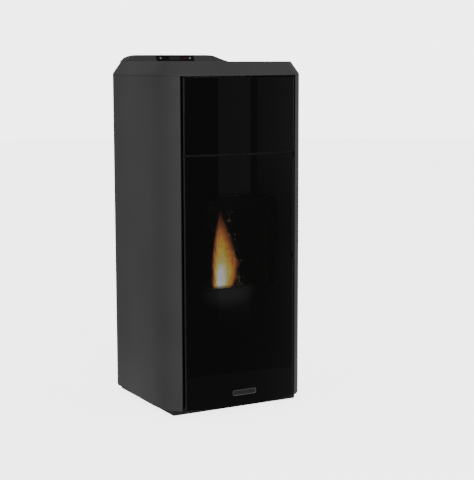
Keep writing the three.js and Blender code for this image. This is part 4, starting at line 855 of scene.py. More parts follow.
def round_upright(block, radius, segments=8):
    """Rounds the upright edges of a block."""
    reshape(block, bpy.ops.mesh.bevel, edges=lambda a, b: abs(a.z - b.z) > EDGE_BREAK,
            offset=radius, segments=segments)
    return block


cover = chamfered_form("top_cover_shell")
reshape(cover, bpy.ops.mesh.bevel, offset=COVER_ROUND, segments=4,
        edges=lambda a, b: abs(a.z - b.z) < EDGE_BREAK and a.z > cover_low.z + EDGE_BREAK)
hump = hump_form("hump")
reshape(hump, bpy.ops.mesh.bevel, offset=HUMP_ROUND, segments=3,
        edges=lambda a, b: abs(a.y - b.y) < CREST_SPREAD and min(a.z, b.z) > deck_z)
plan = trace("cover_plan", cover_outline(cover_low.z - CUT_MARGIN), closed=True)
raise_up(plan, cover_high.z - cover_low.z + 2 * CUT_MARGIN)
combine(hump, plan, "INTERSECT")
combine(cover, hump, "UNION")
combine(cover, shrunk(chamfered_form("cover_inside"), COVER_SHEET), "DIFFERENCE")
combine(cover, shrunk(hump_form("hump_inside"), HUMP_WALL), "DIFFERENCE")

lid_opening = add_block(
    "lid_opening",
    (lid_low.x - LID_GAP, lid_front_y - LID_GAP, deck_z - CUT_MARGIN),
    (lid_high.x + LID_GAP, hinge_y + HINGE_RELIEF, deck_z + CUT_MARGIN))
combine(cover, lid_opening, "DIFFERENCE")
slot_x = -(SLOT_COUNT - 1) / 2 * SLOT_PITCH
slot_y = front_y + SLOT_SETBACK
slots = round_upright(add_block(
    "slots",
    (slot_x - SLOT_WIDTH / 2, slot_y, deck_z - CUT_MARGIN),
    (slot_x + SLOT_WIDTH / 2, slot_y + SLOT_LENGTH, deck_z + CUT_MARGIN)), SLOT_WIDTH * SLOT_ROUND_SHARE)
repeat(slots, SLOT_COUNT, (SLOT_PITCH, 0, 0))
combine(cover, slots, "DIFFERENCE")
recess_back = lid_front_y - LID_GAP
pocket = add_block(
    "finger_pocket",
    (-RECESS_HALF - COVER_SHEET, recess_back - RECESS_LENGTH - COVER_SHEET,
     deck_z - RECESS_DEPTH - COVER_SHEET),
    (RECESS_HALF + COVER_SHEET, recess_back, deck_z - COVER_SHEET / 2))
combine(cover, pocket, "UNION")
hollow = add_block(
    "finger_hollow",
    (-RECESS_HALF, recess_back - RECESS_LENGTH, deck_z - RECESS_DEPTH),
    (RECESS_HALF, recess_back + CUT_MARGIN, deck_z + CUT_MARGIN))
combine(cover, hollow, "DIFFERENCE")

# Seat of the control panel: a shallow bed in the slope of the hump, open behind for the buttons
PANEL_HALF = 64 * mm
PANEL_HEIGHT = 19 * mm
PANEL_SHEET_DEPTH = 1.6 * mm
PANEL_CLEARANCE = 0.3 * mm
PANEL_LEDGE = 2.5 * mm
PANEL_REACH = 8 * mm
slope_turn = math.atan2(HUMP_RISE, HUMP_FOOT - HUMP_CREST)
slope_centre = Vector((0, rear_y - (HUMP_FOOT + HUMP_CREST) / 2, deck_z + HUMP_RISE / 2))


def lay_on_slope(piece):
    """Lays a piece that was made flat round the origin onto the sloping face of the hump."""
    piece.rotation_euler.x = slope_turn
    piece.location = slope_centre
    settle(piece)
    return piece


seat = lay_on_slope(add_block(
    "panel_seat",
    (-PANEL_HALF - PANEL_CLEARANCE, -PANEL_HEIGHT / 2 - PANEL_CLEARANCE,
     -PANEL_SHEET_DEPTH - PANEL_CLEARANCE),
    (PANEL_HALF + PANEL_CLEARANCE, PANEL_HEIGHT / 2 + PANEL_CLEARANCE, CUT_MARGIN)))
combine(cover, seat, "DIFFERENCE")
opening = lay_on_slope(add_block(
    "panel_opening",
    (PANEL_LEDGE - PANEL_HALF, PANEL_LEDGE - PANEL_HEIGHT / 2, -PANEL_REACH),
    (PANEL_HALF - PANEL_LEDGE, PANEL_HEIGHT / 2 - PANEL_LEDGE, CUT_MARGIN)))
combine(cover, opening, "DIFFERENCE")
break_edges(cover)
finish_piece(cover, casing_paint, "stove", "casing_paint", "top_cover")


# Hopper lid: a folded plate with a stiffening tray below, painted like the cover. It turns on a drawn
# steel pin along its rear edge.
STEEL_GREY = "#b9b9b6"
STEEL_SCRATCH = 0.3 * mm
STEEL_SCRATCH_LENGTH = 40 * mm

refine("hopper_lid", "lid_plate", EDGE_BREAK, casing_paint, "lid", "casing_paint")
bright_steel = brushed_metal("bright drawn steel", STEEL_GREY, STEEL_SCRATCH, STEEL_SCRATCH_LENGTH, 0.3)
refine("lid_hinge_pin", "lid_pin", EDGE_BREAK / 2, bright_steel, "stove", "stainless")


# Control panel: a bluish black acrylic fascia let into the hump, with a grey liquid-crystal display,
# a red lens over the receiver and a round black button with a white dot at each end.
PANEL_CORNER = 1.5 * mm
PANEL_PROUD = 0.15 * mm
WINDOW_GAP = 0.4 * mm
WINDOW_DEPTH = 0.8 * mm
WINDOW_CORNER = 0.8 * mm
DISPLAY_HALF = 5.8 * mm
LENS_HALF = 2.6 * mm
LCD_CELL = 0.55 * mm
LCD_GAP = 0.044 * mm
LCD_PAINTED_GLOW = 0.06
BUTTON_RING = 1.6 * mm
BUTTON_WHITE = "#8c8c8e"
FASCIA_BLACK = "#06070a"
ACRYLIC_IOR = 1.18
ACRYLIC_WAVES = 60.0
LCD_GREY = "#1c1e1e"
LCD_LIT = "#202222"
LCD_DARK = "#161717"
LENS_RED = "#3e1216"
BUTTON_BLACK = "#151517"
BUTTON_GRAIN = 0.4 * mm


def glossy_acrylic(name, colour, roughness):
    """Cast acrylic: an even colour under a clear, slightly wavy gloss."""
    material, tree, shader, place = new_material(name)
    wave = noise(tree, place, ACRYLIC_WAVES, 1.0)
    fill_in(tree, shader, {
        "Base Color": linear(colour),
        "IOR": ACRYLIC_IOR,
        "Roughness": ranged(tree, wave, to_min=roughness, to_max=roughness + 0.1)})
    return material


def liquid_crystal(name, colour):
    """A liquid-crystal display: rows of fine square cells on a greenish grey reflector, with a faint painted
    glow on them.
    """
    material, tree, shader, place = new_material(name)
    cells = add_node(tree, "ShaderNodeTexBrick", {
        "Scale": 1.0, "Brick Width": LCD_CELL, "Row Height": LCD_CELL, "Mortar Size": LCD_GAP,
        "offset": 0.0, "Color1": linear(colour), "Color2": linear(LCD_LIT), "Mortar": linear(LCD_DARK)},
        {"Vector": place})
    fill_in(tree, shader, {
        "Base Color": cells.outputs["Color"],
        # The cells glow faintly though nothing lights them from behind: a painted glow.
        "Emission Color": cells.outputs["Color"],
        "Emission Strength": LCD_PAINTED_GLOW,
        "Roughness": 0.25,
        "Specular IOR Level": 0.15})
    return material


fascia = add_block("control_panel", (-PANEL_HALF, -PANEL_HEIGHT / 2, -PANEL_SHEET_DEPTH),
                   (PANEL_HALF, PANEL_HEIGHT / 2, PANEL_PROUD))
round_upright(fascia, PANEL_CORNER, 4)
windows = []
for node, name, half_height in (("display_window", "display", DISPLAY_HALF),
                                ("indicator_lens", "receiver_lens", LENS_HALF)):
    low_x, high_x = (corner.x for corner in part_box(node))
    window_cut = add_block("window_cut", (low_x - WINDOW_GAP, -half_height - WINDOW_GAP, -WINDOW_DEPTH),
                           (high_x + WINDOW_GAP, half_height + WINDOW_GAP, CUT_MARGIN))
    combine(fascia, window_cut, "DIFFERENCE")
    window = add_block(name, (low_x, -half_height, -WINDOW_DEPTH), (high_x, half_height, PANEL_PROUD))
    round_upright(window, WINDOW_CORNER, 3)
    soften(window, EDGE_BREAK / 2)
    windows.append(lay_on_slope(window))
break_edges(fascia, EDGE_BREAK / 2)
finish_piece(lay_on_slope(fascia), glossy_acrylic("bluish black acrylic", FASCIA_BLACK, 0.08),
             "stove", "black_plastic", "control_fascia")
finish_piece(windows[0], liquid_crystal("grey liquid-crystal display", LCD_GREY),
             "stove", "screen", "display_window")
finish_piece(windows[1], glossy_acrylic("clear red acrylic", LENS_RED, 0.1),
             "stove", "red_lens", "indicator_lens")
button_black = moulded_plastic("moulded black plastic", BUTTON_BLACK, BUTTON_GRAIN, 0.4)
button_white = moulded_plastic("moulded white plastic", BUTTON_WHITE, BUTTON_GRAIN, 0.4)
slope_out = Vector((0, -math.sin(slope_turn), math.cos(slope_turn)))
for side in ("left", "right"):
    button = finished_copy(side + "_button", side + "_push_button", EDGE_BREAK)
    reshape(button, bpy.ops.mesh.inset, thickness=BUTTON_RING,
            faces=lambda centre, normal: normal.dot(slope_out) > EXACTLY_FACING)
    dot = [face.select for face in button.data.polygons]
    finish_piece(button, button_black, "button_" + side, "white_mark", side + "_button")
    second_finish(button, button_white, dot)


# Outer door: a folded frame of 2 mm black sheet that the bowed glass is bonded to, hung on pins
# between two brackets on the left, and held shut by a magnet. A small metal pull stands at its right.
HEATPROOF_BLACK = "#131313"
HEATPROOF_PEEL = 1.5 * mm
PULL_ROUND = 0.6 * mm
MAGNET_ROUND = 0.8 * mm

heatproof_black = powder_coat("matt heatproof black", HEATPROOF_BLACK, HEATPROOF_PEEL, 0.6, 0.25, 0.2)
for node, body in (("door_frame", "outer_door"), ("upper_glass_frame", "stove"), ("front_frame", "stove"),
                   ("lower_hinge", "stove"), ("upper_hinge", "stove")):
    refine(node, node + "_sheet", EDGE_BREAK, heatproof_black, body, "black_steel")
refine("door_pull", "finger_pull", PULL_ROUND, strip_metal, "outer_door", "strip_metal")
refine("door_magnet", "magnet_catch", MAGNET_ROUND, black_polyamide, "stove", "black_plastic")


# Plate on the door: a small plain plate of dark anodised aluminium with a bright rolled rim,
# bonded to the foot of the glass and bent to its bow. It is blank.
PLATE_HALF = 38 * mm
PLATE_HEIGHT = 15.5 * mm
PLATE_MIDDLE = 60 * mm
PLATE_PROUD = 0.9 * mm
PLATE_CORNER = 5 * mm
PLATE_RIM = 1.2 * mm
PLATE_SUNK = 0.35 * mm
PLATE_STEPS = 12
RIM_GREY = "#5a5a58"
FIELD_GREY = "#2a2a2a"
RIM_GRAIN = 0.4 * mm
FIELD_SCRATCH = 0.3 * mm
FIELD_SCRATCH_LENGTH = 40 * mm

plate_low = PLATE_MIDDLE - PLATE_HEIGHT / 2
plate = trace("door_plate", bow_points(PLATE_HALF, -PLATE_PROUD, plate_low, PLATE_STEPS)
              + bow_points(PLATE_HALF, 0, plate_low, PLATE_STEPS)[::-1], closed=True)
raise_up(plate, PLATE_HEIGHT)
reshape(plate, bpy.ops.mesh.bevel, offset=PLATE_CORNER, segments=5,
        edges=lambda a, b: abs(a.x - b.x) < EDGE_BREAK and abs(a.z - b.z) < EDGE_BREAK
        and abs(a.x) > PLATE_HALF - EDGE_BREAK)
reshape(plate, bpy.ops.mesh.inset, faces=lambda centre, normal: normal.y < -FACING,
        thickness=PLATE_RIM, depth=-PLATE_SUNK)
field = [face.select for face in plate.data.polygons]
bright_rim = brushed_metal("bright anodised aluminium", RIM_GREY, RIM_GRAIN, RIM_GRAIN, 0.3)
dark_field = brushed_metal("black anodised aluminium", FIELD_GREY, FIELD_SCRATCH_LENGTH, FIELD_SCRATCH, 0.4)
finish_piece(plate, bright_rim, "outer_door", "strip_metal")
second_finish(plate, dark_field, field)


# Rear panel: one painted sheet between the side panels, with holes for the pipes and the mains inlet,
# two fields of pressed louvres that let the room air through, and pan-head screws along its edges.
PIPE_MARGIN = 2 * mm
PIPE_HOLES = (("flue_outlet", 1.0), ("air_inlet_pipe", 1.0), ("thermostat_cap", 0.5))
LOUVRE_HALF = 100 * mm
LOUVRE_SLOT = 5 * mm
LOUVRE_PITCH = 12 * mm
LOUVRE_FIELDS = (("lower", 20 * mm, 42 * mm, 6), ("upper", 0.0, 700 * mm, 12))
HOOD_PROUD = 4 * mm
HOOD_SIDE = 3 * mm
HOOD_SHEET = 0.9 * mm
HOOD_TOP_PROUD = 0.3 * mm
HOOD_HEIGHT = 8.64 * mm
SCREW_RADIUS = 3.6 * mm
SCREW_PROUD = 2.2 * mm
SCREW_INSET = 9 * mm
SCREW_ROWS = 6
SCREW_DOME = 1.32 * mm
SCREW_RIM = 0.432 * mm
DRIVE_DEPTH = 1.1 * mm


def add_rod(name, centre, radius, length, sides=32, along="y"):
    """A round bar through a point, lying along y or standing along z."""
    bpy.ops.object.select_all(action="DESELECT")
    turn = {"y": (math.pi / 2, 0, 0), "z": (0, 0, 0)}[along]
    bpy.ops.mesh.primitive_cylinder_add(vertices=sides, radius=radius, depth=length, location=centre,
                                        rotation=turn)
    rod = newest(name)
    settle(rod)
    return rod


def placed_copy(source, name, shift):
    """A copy of a piece with its own mesh, shifted."""
    copy = bpy.data.objects.new(name, source.data.copy())
    copy.data.name = name
    copy.data.transform(Matrix.Translation(shift))
    scene.collection.objects.link(copy)
    return copy


def join_all(pieces):
    """Makes several pieces one object, under the first one's name."""
    take_up(pieces[0])
    for piece in pieces[1:]:
        piece.select_set(True)
    bpy.ops.object.join()
    return pieces[0]


rear_low, rear_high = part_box("rear_panel")
rear_sheet = add_block("rear_sheet", rear_low, rear_high)
for node, share in PIPE_HOLES:
    pipe_low, pipe_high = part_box(node)
    middle = (pipe_low + pipe_high) / 2
    radius = ((pipe_high.x - pipe_low.x) / 2 + PIPE_MARGIN) * share
    pipe_hole = add_rod("pipe_hole", (middle.x, rear_y, middle.z), radius, 2 * CUT_MARGIN)
    combine(rear_sheet, pipe_hole, "DIFFERENCE")
inlet_low, inlet_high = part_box("mains_inlet")
inlet_cut = add_block(
    "inlet_cut", (inlet_low.x + PIPE_MARGIN, rear_low.y - CUT_MARGIN, inlet_low.z + PIPE_MARGIN),
    (inlet_high.x - PIPE_MARGIN, rear_high.y + CUT_MARGIN, inlet_high.z - PIPE_MARGIN))
combine(rear_sheet, inlet_cut, "DIFFERENCE")
for field, centre_x, first_z, count in LOUVRE_FIELDS:
    slit = add_block("slit", (centre_x - LOUVRE_HALF, rear_low.y - CUT_MARGIN, first_z),
                     (centre_x + LOUVRE_HALF, rear_high.y + CUT_MARGIN, first_z + LOUVRE_SLOT))
    repeat(slit, count, (0, 0, LOUVRE_PITCH))
    combine(rear_sheet, slit, "DIFFERENCE")
    hood_high = first_z + HOOD_HEIGHT
    hood = add_block(
        field + "_louvre_hoods", (centre_x - LOUVRE_HALF - HOOD_SIDE, rear_y - EDGE_BREAK, first_z),
        (centre_x + LOUVRE_HALF + HOOD_SIDE, rear_y + HOOD_PROUD, hood_high))
    reshape(hood, bpy.ops.transform.translate, value=(0, HOOD_TOP_PROUD - HOOD_PROUD, 0),
            edges=lambda a, b: min(a.y, b.y) > rear_y and min(a.z, b.z) > hood_high - EDGE_BREAK)
    reshape(hood, bpy.ops.mesh.delete, type="FACE",
            faces=lambda centre, normal: normal.z < -FACING or normal.y < -FACING)
    apply_modifier(hood, "SOLIDIFY", thickness=HOOD_SHEET, offset=-1, use_even_offset=True)
    soften(hood, EDGE_BREAK)
    repeat(hood, count, (0, 0, LOUVRE_PITCH))
    finish_piece(hood, casing_paint, "stove", "casing_paint")
break_edges(rear_sheet, EDGE_BREAK / 2)
finish_piece(rear_sheet, casing_paint, "stove", "casing_paint", "rear_panel")

screw = add_rod("rear_screws", (0, rear_y + SCREW_PROUD / 2, 0), SCREW_RADIUS, SCREW_PROUD, 24)
reshape(screw, bpy.ops.mesh.bevel, edges=lambda a, b: min(a.y, b.y) > rear_y + EDGE_BREAK,
        offset=SCREW_DOME, segments=4)
pick(screw, faces=lambda centre, normal: normal.y > EXACTLY_FACING)
bpy.ops.mesh.inset(thickness=SCREW_RIM)
bpy.ops.mesh.extrude_region_move(TRANSFORM_OT_translate={"value": (0, -DRIVE_DEPTH, 0)})
leave_edit()
shade(screw)
screws = []
screw_span = rear_high.z - rear_low.z - 2 * SCREW_INSET
for row in range(SCREW_ROWS):
    for side_x in (rear_low.x + SCREW_INSET, rear_high.x - SCREW_INSET):
        height = rear_low.z + SCREW_INSET + screw_span * row / (SCREW_ROWS - 1)
        screws.append(placed_copy(screw, "rear_screw", (side_x, 0, height)))
bpy.data.objects.remove(screw)
rear_screws = join_all(screws)
rear_screws.name = "rear_screws"
finish_piece(rear_screws, bright_steel, "stove", "stainless")


# Pipes and mains inlet: a black enamelled flue stub, a galvanised air pipe, a moulded inlet with its
# fuse and pins, a rocker switch, and the screwed cap of the safety thermostat.
GALVANISED_GREY = "#8f9393"
SPANGLE = 9 * mm
FLUE_ROUND = 0.8 * mm
AIR_PIPE_ROUND = 0.6 * mm
ROCKER_RED = "#8c1a17"


def galvanised_sheet(name, colour):
    """Hot-dip galvanised sheet: dull zinc crystals of different greys, with a soft sheen."""
    material, tree, shader, place = new_material(name)
    crystals = add_node(tree, "ShaderNodeTexVoronoi", {"Scale": 1 / SPANGLE}, {"Vector": place})
    grey = add_node(tree, "ShaderNodeSeparateColor", links={"Color": crystals.outputs["Color"]})
    fill_in(tree, shader, {
        "Base Color": tone_ramp(tree, grey.outputs["Red"], (0.0, shifted(colour, 0.75)),
                                (1.0, shifted(colour, 1.2))),
        "Metallic": 1.0,
        "Roughness": ranged(tree, grey.outputs["Green"], to_min=0.35, to_max=0.55)})
    return material


galvanised = galvanised_sheet("galvanised sheet", GALVANISED_GREY)
refine("flue_outlet", "flue_stub", FLUE_ROUND, heatproof_black, "stove", "black_steel")
refine("air_inlet_pipe", "air_pipe", AIR_PIPE_ROUND, galvanised, "stove", "galvanised")
refine("mains_inlet", "mains_socket", EDGE_BREAK, black_polyamide, "stove", "black_plastic")
rocker_red = moulded_plastic("moulded red plastic", ROCKER_RED, BUTTON_GRAIN, 0.35)
refine("rocker_switch", "switch_rocker", EDGE_BREAK, rocker_red, "rocker", "black_plastic")
refine("thermostat_cap", "thermostat_screw_cap", EDGE_BREAK, black_polyamide, "stove", "black_plastic")


# Firebox: a welded steel body lined with pressed vermiculite boards, with a baffle above and a
# cast-iron burn pot in its seat below. Soot has blackened all of it.
CAST_IRON = "#121110"
CAST_BROWN = "#1c1816"
CAST_GRAIN = 1.5 * mm
CAST_RELIEF = 0.4 * mm
CAST_ROUND = 0.8 * mm
SHELL_ROUND = 0.6 * mm
BOARD_ROUNDS = (("firebox_lining", 1.2 * mm), ("baffle_plate", 1.0 * mm))
FLAKE = 4 * mm
FLAKE_RELIEF = 0.6 * mm
LINING_CLEAN = "#1c1916"
LINING_SOOT = "#0c0b0a"
SOOT_LOW = 330 * mm
SOOT_HIGH = 520 * mm


def sand_cast_iron(name, colour, grain, roughness):
    """Sand-cast iron under stove polish: a coarse skin, grey-black with a trace of brown."""
    material, tree, shader, place = new_material(name)
    skin = noise(tree, place, 1 / grain, 4.0)
    patch = noise(tree, place, 18.0, 2.0)
    fill_in(tree, shader, {
        "Base Color": tone_ramp(tree, patch, (0.35, linear(colour)), (0.75, linear(CAST_BROWN))),
        "Roughness": ranged(tree, skin, to_min=roughness - 0.1, to_max=roughness + 0.15),
        "Normal": relief(tree, skin, 0.5, CAST_RELIEF),
        "Specular IOR Level": 0.15})
    return material


def sooted_board(name):
    """Pressed vermiculite: flaky board, browned by heat and black with soot from the flame upwards."""
    material, tree, shader, place = new_material(name)
    axes = add_node(tree, "ShaderNodeSeparateXYZ", links={"Vector": place})
    flakes = add_node(tree, "ShaderNodeTexVoronoi", {"Scale": 1 / FLAKE}, {"Vector": place})
    rise = ranged(tree, axes.outputs["Z"], from_min=SOOT_LOW, from_max=SOOT_HIGH)
    soot = calculate(tree, "ADD", rise, noise(tree, place, 14.0, 4.0))
    fill_in(tree, shader, {
        "Base Color": tone_ramp(tree, soot, (0.35, linear(LINING_CLEAN)), (0.75, linear(LINING_SOOT))),
        "Roughness": 0.95,
        "Normal": relief(tree, flakes.outputs["Distance"], 0.5, FLAKE_RELIEF),
        "Specular IOR Level": 0.2})
    return material


cast_iron = sand_cast_iron("sand-cast iron", CAST_IRON, CAST_GRAIN, 0.6)
sooted_lining = sooted_board("sooted vermiculite board")
refine("firebox_shell", "firebox_body", SHELL_ROUND, heatproof_black, "stove", "black_steel")
for node, width in BOARD_ROUNDS:
    refine(node, node + "_board", width, sooted_lining, "stove", "refractory")
refine("pot_seat", "pot_seat_ring", CAST_ROUND, cast_iron, "stove", "cast_iron")
refine("burn_pot", "cast_burn_pot", CAST_ROUND, cast_iron, "pot", "cast_iron")
refine("igniter", "ignition_rod", EDGE_BREAK, bright_steel, "stove", "stainless")


# Firebox door: a cast-iron frame with a clear ceramic pane held by clips, a woven rope seal
# in its groove, two hinge knuckles on the left and a coiled-wire handle on the right.
CLEAR_TINT = "#171410"
ROPE_GREY = "#4a4844"
ROPE_SHADE = "#2c2a28"
ROPE_RELIEF = 0.5 * mm
ROPE_ROUND = 1.5 * mm
DOOR_ROUND = 1.0 * mm
HANDLE_ROUND = 0.8 * mm
CLIP_HALF = 9 * mm
CLIP_REACH = 5 * mm
CLIP_INSET = 40 * mm
CLIP_SHEET = 1.5 * mm


def clear_ceramic(name):
    """Clear glass-ceramic with a thin brown film of smoke, uneven over the pane."""
    material, tree, shader, place = new_material(name)
    cloud = noise(tree, place, 9.0, 3.0)
    fill_in(tree, shader, {
        "Base Color": linear(CLEAR_TINT),
        "Roughness": 0.05,
        "Specular IOR Level": 0.0,
        "Alpha": ranged(tree, cloud, from_min=0.3, from_max=0.8, to_min=0.12, to_max=0.3)})
    return material


def woven_rope(name, colour):
    """Glass-fibre rope: grey strands that cross in a tight weave."""
    material, tree, shader, place = new_material(name)
    wave = add_node(tree, "ShaderNodeTexWave", {
        "Scale": 60.0, "Distortion": 2.0, "bands_direction": "DIAGONAL"}, {"Vector": place})
    strands = wave.outputs["Fac"]
    fill_in(tree, shader, {
        "Base Color": tone_ramp(tree, strands, (0.0, linear(ROPE_SHADE)), (1.0, linear(colour))),
        "Roughness": 0.9,
        "Normal": relief(tree, strands, 0.8, ROPE_RELIEF)})
    return material


refine("firebox_door", "cast_firebox_door", DOOR_ROUND, cast_iron, "inner_door", "cast_iron")
firebox_pane = finished_copy("firebox_glass", "firebox_pane", EDGE_BREAK)
finish_piece(firebox_pane, clear_ceramic("clear glass-ceramic"),
             "inner_door", "clear_glass", "firebox_glass")
rope_seal = finished_copy("firebox_door_seal", "rope_seal", ROPE_ROUND, 3)
finish_piece(rope_seal, woven_rope("woven glass-fibre rope", ROPE_GREY),
             "inner_door", "rope", "firebox_door_seal")
refine("firebox_handle", "lift_handle", HANDLE_ROUND, heatproof_black, "inner_door", "stainless")
door_back_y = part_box("firebox_door")[1].y
pane_low, pane_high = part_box("firebox_glass")
clips = []
for height in (pane_low.z + CLIP_INSET, pane_high.z - CLIP_INSET):
    for side_x in (pane_low.x + CLIP_REACH, pane_high.x - CLIP_REACH):
        clip = add_block("pane_clip", (side_x - CLIP_REACH, door_back_y - CLIP_SHEET, height - CLIP_HALF),
                         (side_x + CLIP_REACH, door_back_y, height + CLIP_HALF))
        soften(clip, EDGE_BREAK)
        clips.append(clip)
pane_clips = join_all(clips)
finish_piece(pane_clips, heatproof_black, "inner_door", "stainless")


# Ash drawer: a folded and spot-welded steel box with a pull bar, sliding below the firebox.
# It holds a thin bed of pale ash.
ASH_GREY = "#8b8884"
ASH_CHAR = "#33302d"
ASH_RELIEF = 1.0 * mm
ASH_SIDE_GAP = 12 * mm
ASH_FRONT_GAP = 28 * mm
ASH_REAR_GAP = 6 * mm
ASH_TOP = 26 * mm
ASH_HILLS = 6 * mm
ASH_CELLS = 30
ASH_WAVES = (31.0, 47.0)

refine("ash_drawer", "folded_ash_drawer", EDGE_BREAK, heatproof_black, "drawer", "black_steel")


def wood_ash(name, colour):
    """Wood ash: a loose pale grey powder with darker crumbs of char."""
    material, tree, shader, place = new_material(name)
    crumbs = noise(tree, place, 260.0, 4.0)
    fill_in(tree, shader, {
        "Base Color": tone_ramp(tree, crumbs, (0.35, linear(ASH_CHAR)), (0.5, linear(colour))),
        "Roughness": 1.0,
        "Normal": relief(tree, crumbs, 0.9, ASH_RELIEF)})
    return material


drawer_low, drawer_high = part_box("ash_drawer")
bpy.ops.object.select_all(action="DESELECT")
bpy.ops.mesh.primitive_grid_add(x_subdivisions=ASH_CELLS, y_subdivisions=ASH_CELLS, size=1)
ash = newest("ash_bed")
ash_front = drawer_low.y + ASH_FRONT_GAP
ash_back = drawer_high.y - ASH_REAR_GAP
ash.scale = (drawer_high.x - drawer_low.x - 2 * ASH_SIDE_GAP, ash_back - ash_front, 1)
ash.location = (0, (ash_front + ash_back) / 2, drawer_low.z + ASH_TOP)
settle(ash)
for vertex in ash.data.vertices:
    hill = math.sin(vertex.co.x * ASH_WAVES[0] + 1) * math.cos(vertex.co.y * ASH_WAVES[1])
    vertex.co.z += ASH_HILLS * hill
shade(ash, 80)
finish_piece(ash, wood_ash("pale wood ash", ASH_GREY), "drawer", "refractory")


# Fire: a glowing bed of wood pellets in the pot, and one tall still flame leaning up from it, which go
# with the pot. The flame is two crossed sheets, cold at the rim and white at the root, with sparks.
FLAME_PLACE = (0.0, -98.5 * mm)
FLAME_FOOT = 338 * mm
FLAME_HEIGHT = 232 * mm
FLAME_TURNS = (math.radians(-29), math.radians(61))
FLAME_LEFT = ((0.0, 28.0), (0.12, 30.0), (0.35, 29.0), (0.55, 25.0), (0.75, 18.0), (0.9, 10.0), (1.0, 4.0))
FLAME_RIGHT = ((0.0, 44.0), (0.15, 54.0), (0.3, 59.0), (0.45, 50.0), (0.7, 31.0), (0.85, 18.0), (1.0, 5.0))
LICK_STRETCH = (5.0, 4.0, 1.0)
FLAME_COLUMNS = 20
FLAME_ROWS = 60
FLAME_SLOPE = 0.12
FLAME_POWER = 3.0
FLAME_PEAK = ((0.0, 0.92), (0.05, 0.98), (0.1, 1.0), (0.2, 0.97), (0.26, 0.93), (0.34, 0.86), (0.45, 0.79),
              (0.59, 0.68), (0.72, 0.5), (0.85, 0.3), (1.0, 0.1))
FLAME_PROFILE = ((0.0, 0.0), (0.08, 0.18), (0.2, 0.58), (0.31, 0.9), (0.43, 0.98), (0.52, 1.0), (0.61, 0.96),
                 (0.72, 0.8), (0.84, 0.55), (0.94, 0.28), (1.0, 0.0))
FLAME_COLOURS = ((0.0, BLACK), (0.1, "#26140e"), (0.22, "#5a3222"), (0.36, "#8c5236"), (0.5, "#cc7c46"),
                 (0.64, "#d8a048"), (0.78, "#d8c45c"), (0.87, "#e4dc98"), (0.93, "#f0f0ec"),
                 (1.0, "#f8f8f8"))
SPARK_COUNT = 90
SPARK_RADIUS = 1.0 * mm
SPARK_GLOW = 4.0
SPARK_PATH = ((0.0, 58.0), (0.3, 50.0), (0.55, 38.0), (0.8, 27.0), (1.0, 20.0))
SPARK_SPREAD = 7 * mm
SPARK_DARK = "#54482c"
SPARK_BRIGHT = "#c8b080"
SPARK_PATCH = 6 * mm
PELLET_COUNT = 90
PELLET_RADIUS = 3 * mm
PELLET_LENGTHS = (11 * mm, 20 * mm)
PELLET_TILT = 35
EMBER_GLOW = 6.0
EMBER_DARK = "#1d0a04"
EMBER_BRIGHT = "#ff7a1e"
EMBER_PATCH = 7 * mm
CHAR = "#15110e"
BED_RADIUS = 26 * mm
BED_LOW = 292 * mm
BED_DEPTH = 30 * mm

chance = random.Random(7)


def between(table, share):
    """A value read off a line through the points of a table."""
    for (low, first), (high, second) in zip(table, table[1:]):
        if share <= high:
            return first + (second - first) * (share - low) / (high - low)
    return table[-1][1]


def greys(table):
    """A table of positions and brightnesses as the stops of a ramp."""
    return [(position, (heat, heat, heat, 1.0)) for position, heat in table]


def burning_gas(name):
    """Flame: glowing soot, white-hot at the root, then yellow, orange and dark red, and clear outside."""
    material, tree, shader, _ = new_material(name)
    map_place = add_node(tree, "ShaderNodeTexCoord").outputs["UV"]
    grid = add_node(tree, "ShaderNodeSeparateXYZ", links={"Vector": map_place})
    stretch = add_node(tree, "ShaderNodeMapping", {"Scale": LICK_STRETCH}, {"Vector": map_place})
    licks = add_node(tree, "ShaderNodeTexNoise", {"Scale": 1.8, "Detail": 6.0, "Distortion": 0.5},
                     {"Vector": stretch.outputs["Vector"]})
    grains = noise(tree, stretch.outputs["Vector"], 11.0, 3.0)
    sway = ranged(tree, licks.outputs["Fac"], to_min=-0.12, to_max=0.12)
    jitter = ranged(tree, grains, to_min=-0.1, to_max=0.1)
    across = calculate(tree, "ADD", calculate(tree, "ADD", grid.outputs["X"], sway), jitter)
    profile = tone_ramp(tree, across, *greys(FLAME_PROFILE))
    peak = tone_ramp(tree, grid.outputs["Y"], *greys(FLAME_PEAK))
    heat = calculate(tree, "MULTIPLY", profile, peak)
    colours = [(position, linear(code)) for position, code in FLAME_COLOURS]
    fill_in(tree, shader, {
        "Emission Color": tone_ramp(tree, heat, *colours),
        "Emission Strength": FLAME_POWER,
        "Alpha": ranged(tree, heat, from_min=0.02, from_max=0.2),
        "Base Color": linear(BLACK),
        "Specular IOR Level": 0.0})
    return material


def glowing(name, cold, hot, strength, grain):
    """Charred wood that glows in patches where the air reaches it."""
    material, tree, shader, place = new_material(name)
    patch = noise(tree, place, 1 / grain, 2.0)
    fill_in(tree, shader, {
        "Emission Color": tone_ramp(tree, patch, (0.45, linear(cold)), (0.62, linear(hot))),
        "Emission Strength": strength,
        "Base Color": linear(CHAR),
        "Roughness": 0.95})
    return material


